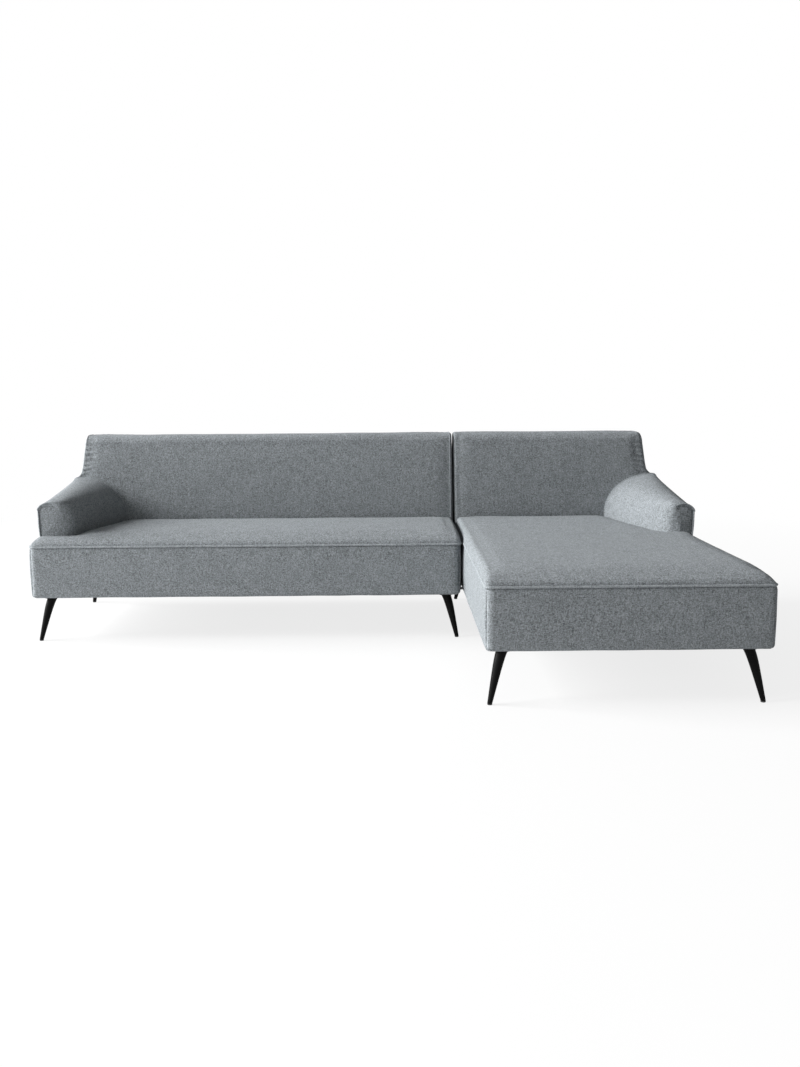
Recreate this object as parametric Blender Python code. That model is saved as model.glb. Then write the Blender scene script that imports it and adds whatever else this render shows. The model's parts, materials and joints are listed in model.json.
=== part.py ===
"""Corner sofa of two upholstered units: a sofa unit with a bench seat and a chaise unit with a long seat.

Metres, +Z up, floor at Z = 0. X runs along the backs to the right, the fronts face -Y, and the
origin is on the floor under the middle of the whole sofa. Each unit is modelled about its own
middle and hung on an empty. The chaise unit lifts straight up off its locating pins.
"""

import math
from typing import NamedTuple

import bmesh
import bpy

# Overall sizes
SOFA_WIDTH = 1.780
CHAISE_WIDTH = 0.946
UNIT_GAP = 0.008
SOFA_DEPTH = 0.792
CHAISE_DEPTH = 1.710
BACK_HEIGHT = 0.828
BASE_UNDERSIDE = 0.182
PIPING_HEIGHT = 0.400

# Gap between faces that touch
FIT = 0.0003

# Timber seat frame
RAIL_HEIGHT = 0.101
RAIL_THICKNESS = 0.025
REAR_RAIL_THICKNESS = 0.045

# Elastic webbing on the frame
WEB_WIDTH = 0.060
WEB_THICKNESS = 0.0015
WEB_EDGE = 0.060
SOFA_WEB_COUNT = (8, 3)
CHAISE_WEB_COUNT = (4, 7)

# Upholstered borders round the base
BORDER_THICKNESS = 0.022
BORDER_SET_BACK = 0.002
BORDER_BOTTOM_RADIUS = 0.012
BORDER_CORNER_RADIUS = 0.006
DUST_COVER_THICKNESS = 0.0015

# Tight seat pad with a crown
SEAT_EDGE = 0.012
SEAT_CROWN = 0.051
SEAT_SIDE_ROUND = 0.120
SEAT_FRONT_ROUND = 0.250
SOFA_CORNER_RADIUS = 0.028
CHAISE_CORNER_RADIUS = 0.014
SEAT_TUCK_DEPTH = 0.012
SEAT_TUCK_REACH = 0.025

# Tight back
BACK_DEPTH = 0.232
BACK_TOP_DEPTH = 0.130
BACK_SWELL = 0.008
BACK_FRONT_RADIUS = 0.045
BACK_REAR_RADIUS = 0.030
BACK_END_RADIUS = 0.025
BACK_LIP_DROP = 0.053
BACK_OUTER_INSET = 0.004
BACK_OUTER_TAPER = 0.041
BACK_TAPER_POWER = 1.2
BACK_JOIN_INSET = 0.002
BACK_PANEL_THICKNESS = 0.008

# Back frame
POST_INSET = 0.060
POST_WIDTH = 0.040
POST_DEPTH = 0.045
TOP_RAIL_HEIGHT = 0.040

# Sculpted arm, by distance from the rear of its unit
SOFA_ARM_LENGTH = 0.713
CHAISE_ARM_LENGTH = 0.810
ARM_REAR_RIDGE = 0.659
ARM_RIDGE_SLOPE = 0.132
ARM_BACK_THICKNESS = 0.250
ARM_TAPER = 0.233
ARM_SPRING_HEIGHT = 0.440
ARM_RIDGE_RADIUS = 0.018
ARM_FRONT_POWER = 3.0
ARM_BACK_POWER = 2.05
ARM_FRONT_ROUND = 0.008

# Plywood arm board
ARM_BOARD_THICKNESS = 0.012
ARM_BOARD_SET_BACK = 0.030
ARM_BOARD_RISE = 0.070

# Splayed metal legs and their glides
LEG_INSET = 0.052
LEG_SIDE_SPLAY = 0.0325
LEG_FRONT_SPLAY = 0.038
LEG_TOP_RADIUS = 0.021
LEG_TIP_RADIUS = 0.0085
LEG_CURVE_POWER = 1.35
LEG_PLATE_RADIUS = 0.036
LEG_PLATE_THICKNESS = 0.004
GLIDE_HEIGHT = 0.005
GLIDE_CHAMFER = 0.0012

# Locating pins of the chaise unit and the socket straps of the sofa unit
CONNECTOR_INSET = 0.170
PIN_PLATE_LENGTH = 0.050
PIN_PLATE_WIDTH = 0.040
PIN_PLATE_THICKNESS = 0.004
PIN_OFFSET = 0.035
PIN_LENGTH = 0.022
PIN_SIDE = 0.010
PIN_WIDTH = 0.024
PIN_DRAFT = 0.7
SOCKET_CLEARANCE = 0.001
STRAP_THICKNESS = 0.003
STRAP_WIDTH = 0.050
STRAP_GRIP = 0.090
STRAP_BEND = 0.010

# Facets, and shares of a round edge at which its rings lie
LEG_SIDES = 14
LEG_RINGS = 9
GLIDE_SIDES = 12
ARC_STEPS = 4
ARM_ARC_STEPS = 12
ARM_RINGS = 10
ARM_EDGE_SHARE = 0.3
BACK_FRONT_STEPS = 8
BACK_END_SHARES = (0.0, 0.15, 0.45, 1.0)
OUTSIDE_BACK_STEPS = 3
BORDER_SEGMENTS = 3
SOFA_PAD_STEPS = (16, 5)
CHAISE_PAD_STEPS = (8, 14)
SOFA_BACK_STEPS = 12
CHAISE_BACK_STEPS = 7
SMOOTH_BELOW = 50

# Levels that follow from the sizes above
RAIL_BOTTOM = BASE_UNDERSIDE + DUST_COVER_THICKNESS + FIT
RAIL_TOP = RAIL_BOTTOM + RAIL_HEIGHT
WEB_BOTTOM = RAIL_TOP + FIT
FOAM_BOTTOM = WEB_BOTTOM + WEB_THICKNESS + FIT
PAD_BOTTOM = PIPING_HEIGHT - SEAT_EDGE
DECK_TOP = PAD_BOTTOM - FIT
BACK_LIP = BACK_HEIGHT - BACK_LIP_DROP
TOP_RAIL_TOP = BACK_LIP - FIT
TOP_RAIL_BOTTOM = TOP_RAIL_TOP - TOP_RAIL_HEIGHT
UNDER_PLATE = BASE_UNDERSIDE - FIT
FRAME_INSET = BORDER_SET_BACK + BORDER_THICKNESS + FIT
TOTAL_WIDTH = SOFA_WIDTH + UNIT_GAP + CHAISE_WIDTH


class Unit(NamedTuple):
    """One unit in its own frame: X and Y from its middle, Z from the floor.

    arm_side is -1 for an arm at the left end and 1 for one at the right.
    """

    name: str
    width: float
    depth: float
    middle: tuple
    arm_side: int
    arm_length: float
    corner_radius: float
    web_count: tuple

    def frame_box(self):
        """Outer limits of the timber frame in X and Y: low x, high x, low y, high y."""
        half = self.width / 2 - FRAME_INSET
        return -half, half, -self.depth / 2 + FRAME_INSET, self.depth / 2 - BACK_PANEL_THICKNESS - FIT

    def back_line(self):
        """Y of the back's front face at seat level."""
        return self.depth / 2 - BACK_DEPTH

    def arm_front(self):
        """Y of the arm's front face."""
        return self.depth / 2 - self.arm_length


def clear_scene():
    """Removes every object that the file opened with."""
    for obj in list(bpy.data.objects):
        bpy.data.objects.remove(obj, do_unlink=True)


def make_material(name, color, roughness, metallic=0.0):
    """A Principled BSDF with the given colour, roughness and metallic value."""
    material = bpy.data.materials.new(name)
    material.use_nodes = True
    shader = material.node_tree.nodes["Principled BSDF"]
    shader.inputs["Base Color"].default_value = (*color, 1.0)
    shader.inputs["Roughness"].default_value = roughness
    shader.inputs["Metallic"].default_value = metallic
    return material


def add_object(name, bm, material, parent, smooth=False):
    """Links the mesh as one named object. A smooth one keeps only its edges over SMOOTH_BELOW degrees."""
    mesh = bpy.data.meshes.new(name)
    bmesh.ops.recalc_face_normals(bm, faces=bm.faces)
    bm.to_mesh(mesh)
    bm.free()
    if smooth:
        mesh.shade_smooth()
        mesh.set_sharp_from_angle(angle=math.radians(SMOOTH_BELOW))
    mesh.materials.append(material)
    obj = bpy.data.objects.new(name, mesh)
    bpy.context.scene.collection.objects.link(obj)
    obj.parent = parent
    return obj


def box_mesh(x_range, y_range, z_range):
    """A box between the given limits, as a bmesh."""
    bm = bmesh.new()
    bmesh.ops.create_cube(bm, size=1.0)
    low = (x_range[0], y_range[0], z_range[0])
    high = (x_range[1], y_range[1], z_range[1])
    for vert in bm.verts:
        vert.co = [low[i] if vert.co[i] < 0 else high[i] for i in range(3)]
    return bm


def loft(rings):
    """One closed skin through rings of as many points each, with both ends filled."""
    bm = bmesh.new()
    loops = [[bm.verts.new(point) for point in ring] for ring in rings]
    for first, second in zip(loops, loops[1:]):
        for i in range(len(first)):
            bm.faces.new((first[i - 1], first[i], second[i], second[i - 1]))
    bm.faces.new(loops[0])
    bm.faces.new(loops[-1])
    return bm


def prism(outline, y_range):
    """An outline of (x, z) points given its depth along Y."""
    return loft([[(x, y, z) for x, z in outline] for y in y_range])


def circle(radius, sides, center, height):
    """Points of a level circle."""
    turn = 2 * math.pi / sides
    return [
        (center[0] + radius * math.cos(i * turn), center[1] + radius * math.sin(i * turn), height)
        for i in range(sides)
    ]


def blend(first, second, share):
    """The value at a share of the way from the first to the second."""
    return first + (second - first) * share


def cut(obj, bm, parent, label):
    """Takes the given shape out of the object with a Boolean, and keeps the cutter as a hidden guide."""
    cutter = add_object(obj.name + "." + label, bm, obj.data.materials[0], parent)
    cutter.hide_render = True
    cutter.display_type = "WIRE"
    modifier = obj.modifiers.new(label, "BOOLEAN")
    modifier.operation = "DIFFERENCE"
    modifier.solver = "EXACT"
    modifier.object = cutter


# Seat frame, webbing and foam


def build_rails(unit, parent, timber):
    """Four rails butted at the corners, and one cross rail over the middle of the longer way."""
    x0, x1, y0, y1 = unit.frame_box()
    levels = (RAIL_BOTTOM, RAIL_TOP)
    inner_y = (y0 + RAIL_THICKNESS + FIT, y1 - REAR_RAIL_THICKNESS - FIT)
    inner_x = (x0 + RAIL_THICKNESS + FIT, x1 - RAIL_THICKNESS - FIT)
    middle_y = (inner_y[0] + inner_y[1]) / 2
    half = RAIL_THICKNESS / 2
    rails = {
        "front_rail": ((x0, x1), (y0, y0 + RAIL_THICKNESS)),
        "rear_rail": ((x0, x1), (y1 - REAR_RAIL_THICKNESS, y1)),
        "left_rail": ((x0, x0 + RAIL_THICKNESS), inner_y),
        "right_rail": ((x1 - RAIL_THICKNESS, x1), inner_y),
    }
    if unit.width > unit.depth:
        rails["middle_rail"] = ((-half, half), inner_y)
    else:
        rails["middle_rail"] = (inner_x, (middle_y - half, middle_y + half))
    for name, (x_range, y_range) in rails.items():
        add_object(f"{unit.name}_{name}", box_mesh(x_range, y_range, levels), timber, parent)


def strap_edges(low, high, count):
    """Edges of count straps spread evenly between two limits, with a margin at each end."""
    first = low + WEB_EDGE + WEB_WIDTH / 2
    last = high - WEB_EDGE - WEB_WIDTH / 2
    edges = [low]
    for i in range(count):
        middle = blend(first, last, i / (count - 1))
        edges += [middle - WEB_WIDTH / 2, middle + WEB_WIDTH / 2]
    return edges + [high]


def build_webbing(unit, parent, elastic):
    """Straps stapled over the rails both ways and stitched where they cross, as one flat net.

    It stops beside the arm board and in front of the posts.
    """
    x0, x1, y0, y1 = unit.frame_box()
    y1 -= POST_DEPTH + FIT
    beside_board = ARM_BOARD_THICKNESS + 2 * FIT
    x0 += beside_board * (unit.arm_side < 0)
    x1 -= beside_board * (unit.arm_side > 0)
    xs = strap_edges(x0, x1, unit.web_count[0])
    ys = strap_edges(y0, y1, unit.web_count[1])
    bm = bmesh.new()
    grid = [[bm.verts.new((x, y, WEB_BOTTOM)) for y in ys] for x in xs]
    for i in range(len(xs) - 1):
        for j in range(len(ys) - 1):
            if i % 2 or j % 2:
                bm.faces.new((grid[i][j], grid[i + 1][j], grid[i + 1][j + 1], grid[i][j + 1]))
    bmesh.ops.delete(bm, geom=[v for v in bm.verts if not v.link_faces], context="VERTS")
    raised = bmesh.ops.extrude_face_region(bm, geom=bm.faces[:])["geom"]
    lifted = [item for item in raised if isinstance(item, bmesh.types.BMVert)]
    bmesh.ops.translate(bm, verts=lifted, vec=(0, 0, WEB_THICKNESS))
    add_object(f"{unit.name}_seat_webbing", bm, elastic, parent)


def arm_board_ranges(unit, clearance=0.0):
    """X, Y and Z limits of the arm board, grown by a clearance where it is used as a cutter."""
    outer = unit.width / 2 - FRAME_INSET - FIT + clearance
    inner = outer - ARM_BOARD_THICKNESS - 2 * clearance
    x_range = sorted((unit.arm_side * outer, unit.arm_side * inner))
    front = unit.arm_front() + ARM_BOARD_SET_BACK - clearance
    rear = unit.back_line() - ARM_FRONT_ROUND + clearance
    return x_range, (front, rear), (RAIL_TOP + FIT, PAD_BOTTOM + ARM_BOARD_RISE + clearance)


def build_foam(unit, parent, foam):
    """The seat's foam block, notched for the arm board and stopped at the back posts."""
    x0, x1, y0, y1 = unit.frame_box()
    y1 -= POST_DEPTH + FIT
    obj = add_object(
        f"{unit.name}_seat_foam", box_mesh((x0, x1), (y0, y1), (FOAM_BOTTOM, DECK_TOP)), foam, parent
    )
    x_range, y_range, _ = arm_board_ranges(unit, FIT)
    outside = unit.arm_side * unit.width / 2
    x_range = (min(x_range[0], outside), max(x_range[1], outside))
    cut(obj, box_mesh(x_range, y_range, (FOAM_BOTTOM - FIT, PIPING_HEIGHT)), parent, "arm_board_notch")


# Base borders and dust cover


def border(name, x_range, y_range, bottom_edges, corner_edges, fabric, parent):
    """A padded panel whose chosen outer edges are rounded.

    bottom_edges and corner_edges each give a test on the two ends of an edge.
    """
    bm = box_mesh(x_range, y_range, (BASE_UNDERSIDE, DECK_TOP))
    for test, radius in ((corner_edges, BORDER_CORNER_RADIUS), (bottom_edges, BORDER_BOTTOM_RADIUS)):
        edges = [edge for edge in bm.edges if all(test(vert.co) for vert in edge.verts)]
        bmesh.ops.bevel(
            bm, geom=edges, offset=radius, offset_type="OFFSET", segments=BORDER_SEGMENTS, profile=0.5,
            affect="EDGES", material=-1, clamp_overlap=True,
        )
    return add_object(name, bm, fabric, parent, smooth=True)


def build_borders(unit, parent, fabric):
    """Front border over the whole width, and two side borders behind it."""
    half = unit.width / 2 - BORDER_SET_BACK
    front = -unit.depth / 2 + BORDER_SET_BACK
    behind = front + BORDER_THICKNESS + FIT
    rear = unit.depth / 2 - BACK_PANEL_THICKNESS - FIT
    low = BASE_UNDERSIDE + FIT

    def at_front(point):
        return point.y < front + FIT

    def at_end(point):
        return abs(point.x) > half - FIT

    def at_bottom(point):
        return point.z < low

    border(
        f"{unit.name}_front_border", (-half, half), (front, front + BORDER_THICKNESS),
        lambda point: at_bottom(point) and at_front(point),
        lambda point: at_front(point) and at_end(point),
        fabric, parent,
    )
    for name, side in (("left_border", -1), ("right_border", 1)):
        x_range = sorted((side * half, side * (half - BORDER_THICKNESS)))
        border(
            f"{unit.name}_{name}", x_range, (behind, rear),
            lambda point: at_bottom(point) and at_end(point),
            lambda point: False,
            fabric, parent,
        )


def build_dust_cover(unit, parent, cloth):
    """The thin cloth that closes the underside of the frame."""
    x0, x1, y0, y1 = unit.frame_box()
    levels = (BASE_UNDERSIDE, BASE_UNDERSIDE + DUST_COVER_THICKNESS)
    add_object(f"{unit.name}_dust_cover", box_mesh((x0, x1), (y0, y1), levels), cloth, parent)


# Seat pad


def quarter_round(share):
    """Height of a quarter circle, 0 at its foot and 1 from its top on."""
    rest = 1 - min(max(share, 0.0), 1.0)
    return math.sqrt(1 - rest * rest)


def arm_thickness(distance):
    """Thickness of the arm at its foot, at a distance from the rear of its unit."""
    return ARM_BACK_THICKNESS - ARM_TAPER * (distance - BACK_DEPTH)


def seat_height(unit, x, y):
    """Height of the seat's crown: round at its open edges, tucked in at the back and the arm."""
    side = unit.width / 2 - abs(x)
    ahead = y + unit.depth / 2
    rise = SEAT_CROWN * quarter_round(side / SEAT_SIDE_ROUND) * quarter_round(ahead / SEAT_FRONT_ROUND)
    to_back = unit.back_line() - y
    to_arm = unit.width / 2 - unit.arm_side * x - arm_thickness(unit.depth / 2 - y)
    nearest = to_back if y < unit.arm_front() else min(to_back, max(to_arm, 0.0))
    tuck = SEAT_TUCK_DEPTH * math.exp(-max(nearest, 0.0) / SEAT_TUCK_REACH)
    return PIPING_HEIGHT + max(rise - tuck, 0.0)


def edge_stations(length, start, end, middle_count):
    """Distances from 0 to length: close together near the ends, and even between them."""
    low, high = start[-1], length - end[-1]
    middle = [blend(low, high, i / middle_count) for i in range(1, middle_count)]
    return list(start) + middle + [length - distance for distance in reversed(end)]


def round_corner(side, ahead, radius):
    """Moves a point near a square corner so that the corner becomes an arc of the radius."""
    a, b = radius - side, radius - ahead
    if a <= 0 or b <= 0:
        return side, ahead
    shrink = max(a, b) / math.hypot(a, b)
    return radius - a * shrink, radius - b * shrink


def build_seat_pad(unit, parent, fabric, x_middle, y_middle):
    """The crowned cover pad: a grid whose sides fall to the piping, closed by a flat underside."""
    half = unit.width / 2
    length = unit.back_line() - FIT + unit.depth / 2
    radius = unit.corner_radius
    side_steps = (0.0, radius / 3, radius, SEAT_SIDE_ROUND / 2, SEAT_SIDE_ROUND)
    front_steps = side_steps[:-1] + (SEAT_FRONT_ROUND / 2, SEAT_FRONT_ROUND)
    rear_steps = (0.0, SEAT_TUCK_REACH, 2 * SEAT_TUCK_REACH)
    xs = edge_stations(unit.width, side_steps, side_steps, x_middle)
    ys = edge_stations(length, front_steps, rear_steps, y_middle)
    bm = bmesh.new()
    top = []
    for from_left in xs:
        row = []
        for ahead in ys:
            side = min(from_left, unit.width - from_left)
            moved_side, moved_ahead = round_corner(side, ahead, radius)
            x = moved_side - half if from_left < half else half - moved_side
            y = moved_ahead - unit.depth / 2
            level = PIPING_HEIGHT if side == 0 or ahead == 0 else seat_height(unit, x, y)
            row.append(bm.verts.new((x, y, level)))
        top.append(row)
    for i in range(len(xs) - 1):
        for j in range(len(ys) - 1):
            bm.faces.new((top[i][j], top[i + 1][j], top[i + 1][j + 1], top[i][j + 1]))
    rim = [row[0] for row in top] + top[-1][1:]
    rim += [row[-1] for row in reversed(top[:-1])] + top[0][-2:0:-1]
    foot = [bm.verts.new((vert.co.x, vert.co.y, PAD_BOTTOM)) for vert in rim]
    for i in range(len(rim)):
        bm.faces.new((rim[i - 1], rim[i], foot[i], foot[i - 1]))
    bm.faces.new(foot)
    obj = add_object(f"{unit.name}_seat_pad", bm, fabric, parent, smooth=True)
    cut(obj, arm_footprint(unit), parent, "arm_space")


def arm_footprint(unit):
    """The upright space that the arm stands in, a little wider than its foot."""
    outside = unit.width / 2 + BORDER_THICKNESS
    front = unit.arm_front() - FIT
    rear = unit.depth / 2
    levels = (PAD_BOTTOM - BORDER_THICKNESS, ARM_REAR_RIDGE)
    corners = [(outside, front), (unit.width / 2 - arm_thickness(rear - front) - FIT, front)]
    corners += [(unit.width / 2 - arm_thickness(0.0) - FIT, rear), (outside, rear)]
    return loft([[(unit.arm_side * x, y, z) for x, y in corners] for z in levels])


# Back


def arc(center, radius, start, end, steps):
    """Points of an arc in a (y, z) plane, angles in degrees from +Y towards +Z."""
    return [
        (
            center[0] + radius * math.cos(math.radians(blend(start, end, i / steps))),
            center[1] + radius * math.sin(math.radians(blend(start, end, i / steps))),
        )
        for i in range(steps + 1)
    ]


def back_front(level):
    """Depth of the back from its rear plane at a height, leaning back and a little swelled."""
    share = (level - PAD_BOTTOM) / (BACK_HEIGHT - PAD_BOTTOM)
    return blend(BACK_DEPTH, BACK_TOP_DEPTH, share) + BACK_SWELL * math.sin(math.pi * share)


def back_profile(unit):
    """The back pad's section as (y, z) points, from its front foot over the top to its rear foot."""
    rear = unit.depth / 2
    shoulder = BACK_HEIGHT - BACK_FRONT_RADIUS
    points = []
    for i in range(BACK_FRONT_STEPS):
        level = blend(PAD_BOTTOM, shoulder, i / BACK_FRONT_STEPS)
        points.append((rear - back_front(level), level))
    front_center = (rear - back_front(shoulder) + BACK_FRONT_RADIUS, shoulder)
    points += arc(front_center, BACK_FRONT_RADIUS, 180, 90, ARC_STEPS)
    rear_center = (rear - BACK_REAR_RADIUS, BACK_HEIGHT - BACK_REAR_RADIUS)
    points += arc(rear_center, BACK_REAR_RADIUS, 90, 0, ARC_STEPS)
    inner = rear - BACK_PANEL_THICKNESS - FIT
    return points + [(rear, BACK_LIP), (inner, BACK_LIP), (inner, PAD_BOTTOM)]


def back_end_inset(unit, side, level):
    """Distance of the back's end face from the unit's outer plane at a height."""
    if side != unit.arm_side:
        return BACK_JOIN_INSET
    arm_top = ARM_REAR_RIDGE - ARM_RIDGE_SLOPE * BACK_DEPTH
    share = max(level - arm_top, 0.0) / (BACK_HEIGHT - arm_top)
    return BACK_OUTER_INSET + BACK_OUTER_TAPER * share**BACK_TAPER_POWER


def eased_profile(profile, distance):
    """The section at a distance from the end, drawn in so that the front and top edges are round."""
    gap = max(BACK_END_RADIUS - distance, 0.0)
    ease = BACK_END_RADIUS - math.sqrt(BACK_END_RADIUS**2 - gap**2)
    eased = []
    for i, (y, z) in enumerate(profile):
        before, after = profile[i - 1], profile[(i + 1) % len(profile)]
        run, rise = after[0] - before[0], after[1] - before[1]
        size = math.hypot(run, rise)
        forward, upward = max(rise / size, 0.0), max(run / size, 0.0)
        inside = i < len(profile) - 3 and z > PAD_BOTTOM
        eased.append((y + ease * forward, z - ease * upward * inside))
    return eased


def build_back_pad(unit, parent, fabric, middle_count):
    """The tight back: its section lofted from end to end, with slots for the posts and top rail."""
    profile = back_profile(unit)
    steps = [BACK_END_RADIUS * share for share in BACK_END_SHARES]
    rings = []
    for distance in edge_stations(unit.width, steps, steps, middle_count):
        from_end = min(distance, unit.width - distance)
        share = distance / unit.width
        ring = []
        for y, z in eased_profile(profile, from_end):
            left = -unit.width / 2 + back_end_inset(unit, -1, z)
            right = unit.width / 2 - back_end_inset(unit, 1, z)
            ring.append((blend(left, right, share), y, z))
        rings.append(ring)
    obj = add_object(f"{unit.name}_back_pad", loft(rings), fabric, parent, smooth=True)
    rear = unit.depth / 2
    post_y = (post_ranges(unit)[0] - FIT, rear - BACK_PANEL_THICKNESS / 2)
    for label, side in (("left_post_slot", -1), ("right_post_slot", 1)):
        x_range = post_x(unit, side, FIT)
        cut(obj, box_mesh(x_range, post_y, (PAD_BOTTOM - FIT, BACK_LIP)), parent, label)
    reach = unit.width / 2 - POST_INSET + FIT
    rail_slot = box_mesh((-reach, reach), post_y, (TOP_RAIL_BOTTOM - FIT, BACK_LIP))
    cut(obj, rail_slot, parent, "top_rail_slot")


def post_ranges(unit):
    """Y limits of the posts and the top rail."""
    rear = unit.depth / 2 - BACK_PANEL_THICKNESS - FIT
    return rear - POST_DEPTH, rear


def post_x(unit, side, clearance=0.0):
    """X limits of the post on one side, grown by a clearance where it is used as a cutter."""
    outer = unit.width / 2 - POST_INSET + clearance
    inner = outer - POST_WIDTH - 2 * clearance
    return sorted((side * outer, side * inner))


def build_back_frame(unit, parent, timber):
    """Two posts on the rear rail and a top rail across them."""
    y_range = post_ranges(unit)
    for name, side in (("left_post", -1), ("right_post", 1)):
        levels = (RAIL_TOP + FIT, TOP_RAIL_BOTTOM - FIT)
        bm = box_mesh(post_x(unit, side), y_range, levels)
        add_object(f"{unit.name}_{name}", bm, timber, parent)
    reach = unit.width / 2 - POST_INSET
    bm = box_mesh((-reach, reach), y_range, (TOP_RAIL_BOTTOM, TOP_RAIL_TOP))
    add_object(f"{unit.name}_top_rail", bm, timber, parent)


def build_outside_back(unit, parent, fabric):
    """The rear panel, from the underside up to the lip of the back pad, following its tapered end."""
    rear = unit.depth / 2
    levels = [BASE_UNDERSIDE, PAD_BOTTOM]
    arm_top = ARM_REAR_RIDGE - ARM_RIDGE_SLOPE * BACK_DEPTH
    steps = OUTSIDE_BACK_STEPS
    levels += [blend(arm_top, BACK_LIP - FIT, i / steps) for i in range(steps + 1)]
    outline = [(back_end_inset(unit, -1, z) - unit.width / 2, z) for z in levels]
    outline += [(unit.width / 2 - back_end_inset(unit, 1, z), z) for z in reversed(levels)]
    bm = prism(outline, (rear - BACK_PANEL_THICKNESS, rear))
    add_object(f"{unit.name}_outside_back", bm, fabric, parent)


# Arm


def arm_section(unit, y, inset=0.0):
    """The arm's section at y: upright outside, a round ridge, and a full curve down to the seat."""
    distance = unit.depth / 2 - y
    thickness = arm_thickness(distance) - inset
    ridge = ARM_REAR_RIDGE - ARM_RIDGE_SLOPE * distance - inset
    along = (distance - BACK_DEPTH) / (unit.arm_length - BACK_DEPTH)
    power = blend(ARM_BACK_POWER, ARM_FRONT_POWER, min(max(along, 0.0), 1.0))
    outer = BORDER_SET_BACK + inset
    points = [(outer, PAD_BOTTOM), (outer, ARM_SPRING_HEIGHT)]
    center = (outer + ARM_RIDGE_RADIUS, ridge - ARM_RIDGE_RADIUS)
    points += arc(center, ARM_RIDGE_RADIUS, 180, 90, ARC_STEPS)
    width = thickness - center[0]
    height = ridge - ARM_SPRING_HEIGHT
    for i in range(1, ARM_ARC_STEPS + 1):
        angle = math.pi / 2 * i / ARM_ARC_STEPS
        across = math.sin(angle) ** (2 / power)
        up = max(math.cos(angle), 0.0) ** (2 / power)
        points.append((center[0] + width * across, ARM_SPRING_HEIGHT + height * up))
    points.append((thickness, PAD_BOTTOM))
    half = unit.width / 2
    return [(unit.arm_side * (half - inward), y, z) for inward, z in points]


def build_arm(unit, parent, fabric, plywood):
    """The sculpted arm: sections lofted from its front face into the back, then cut to meet both."""
    front, back = unit.arm_front(), unit.back_line()
    reach = unit.depth / 2 - BACK_TOP_DEPTH / 2
    rings = [
        arm_section(unit, front, ARM_FRONT_ROUND),
        arm_section(unit, front + ARM_FRONT_ROUND * ARM_EDGE_SHARE, ARM_FRONT_ROUND * ARM_EDGE_SHARE),
        arm_section(unit, front + ARM_FRONT_ROUND),
    ]
    rings += [
        arm_section(unit, blend(front + ARM_FRONT_ROUND, back, i / ARM_RINGS)) for i in range(1, ARM_RINGS + 1)
    ]
    rings.append(arm_section(unit, reach))
    obj = add_object(f"{unit.name}_arm_pad", loft(rings), fabric, parent, smooth=True)
    outline = back_profile(unit)
    foot = PAD_BOTTOM - BORDER_THICKNESS
    outline = [(y - FIT, z + FIT) for y, z in outline[:-3]] + [(unit.depth / 2, BACK_LIP)]
    outline = [(outline[0][0], foot)] + outline + [(unit.depth / 2, foot)]
    half = unit.width / 2 + BORDER_THICKNESS
    back_space = loft([[(x, y, z) for y, z in outline] for x in (-half, half)])
    cut(obj, back_space, parent, "back_space")
    x_range, y_range, z_range = arm_board_ranges(unit, FIT)
    y_range = (y_range[0], unit.depth / 2)
    cut(obj, box_mesh(x_range, y_range, (foot, z_range[1])), parent, "arm_board_slot")
    x_range, y_range, z_range = arm_board_ranges(unit)
    add_object(f"{unit.name}_arm_board", box_mesh(x_range, y_range, z_range), plywood, parent)


# Legs and glides


def leg_ring(share):
    """Centre, radius and height of the leg at a share of its way down, splayed along +X."""
    splay = math.hypot(LEG_SIDE_SPLAY, LEG_FRONT_SPLAY)
    top = UNDER_PLATE - LEG_PLATE_THICKNESS
    bottom = GLIDE_HEIGHT + FIT
    center = splay * (1 - (1 - share) ** LEG_CURVE_POWER)
    return (center, 0.0), blend(LEG_TOP_RADIUS, LEG_TIP_RADIUS, share), blend(top, bottom, share)


def build_legs(unit, parent, metal, plastic):
    """Four copies of one curved, tapered leg with a round screw plate, each on its own glide."""
    top = UNDER_PLATE
    rings = [
        circle(LEG_PLATE_RADIUS, LEG_SIDES, (0, 0), top),
        circle(LEG_PLATE_RADIUS, LEG_SIDES, (0, 0), top - LEG_PLATE_THICKNESS),
    ]
    for i in range(LEG_RINGS):
        center, radius, height = leg_ring(i / (LEG_RINGS - 1))
        rings.append(circle(radius, LEG_SIDES, center, height))
    tip = leg_ring(1.0)[0][0]
    glide_rings = [
        circle(LEG_TIP_RADIUS, GLIDE_SIDES, (tip, 0), GLIDE_HEIGHT),
        circle(LEG_TIP_RADIUS, GLIDE_SIDES, (tip, 0), GLIDE_CHAMFER),
        circle(LEG_TIP_RADIUS - GLIDE_CHAMFER, GLIDE_SIDES, (tip, 0), 0.0),
    ]
    leg_mesh = glide_mesh = None
    for front, y_side in (("front", -1), ("rear", 1)):
        for left, x_side in (("left", -1), ("right", 1)):
            place = (
                x_side * (unit.width / 2 - LEG_INSET),
                y_side * (unit.depth / 2 - LEG_INSET),
                0.0,
            )
            turn = math.atan2(y_side * LEG_FRONT_SPLAY, x_side * LEG_SIDE_SPLAY)
            leg = add_object(f"{unit.name}_{front}_{left}_leg", loft(rings), metal, parent, smooth=True)
            glide = add_object(
                f"{unit.name}_{front}_{left}_glide", loft(glide_rings), plastic, parent, smooth=True
            )
            leg_mesh = leg_mesh or leg.data
            glide_mesh = glide_mesh or glide.data
            leg.data, glide.data = leg_mesh, glide_mesh
            for obj in (leg, glide):
                obj.location = place
                obj.rotation_euler = (0.0, 0.0, turn)


# Connectors between the units


def connector_places():
    """World Y of the two connectors, set in from the front and the rear of the sofa unit."""
    rear = CHAISE_DEPTH / 2
    return {"front": rear - SOFA_DEPTH + CONNECTOR_INSET, "rear": rear - CONNECTOR_INSET}


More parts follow.
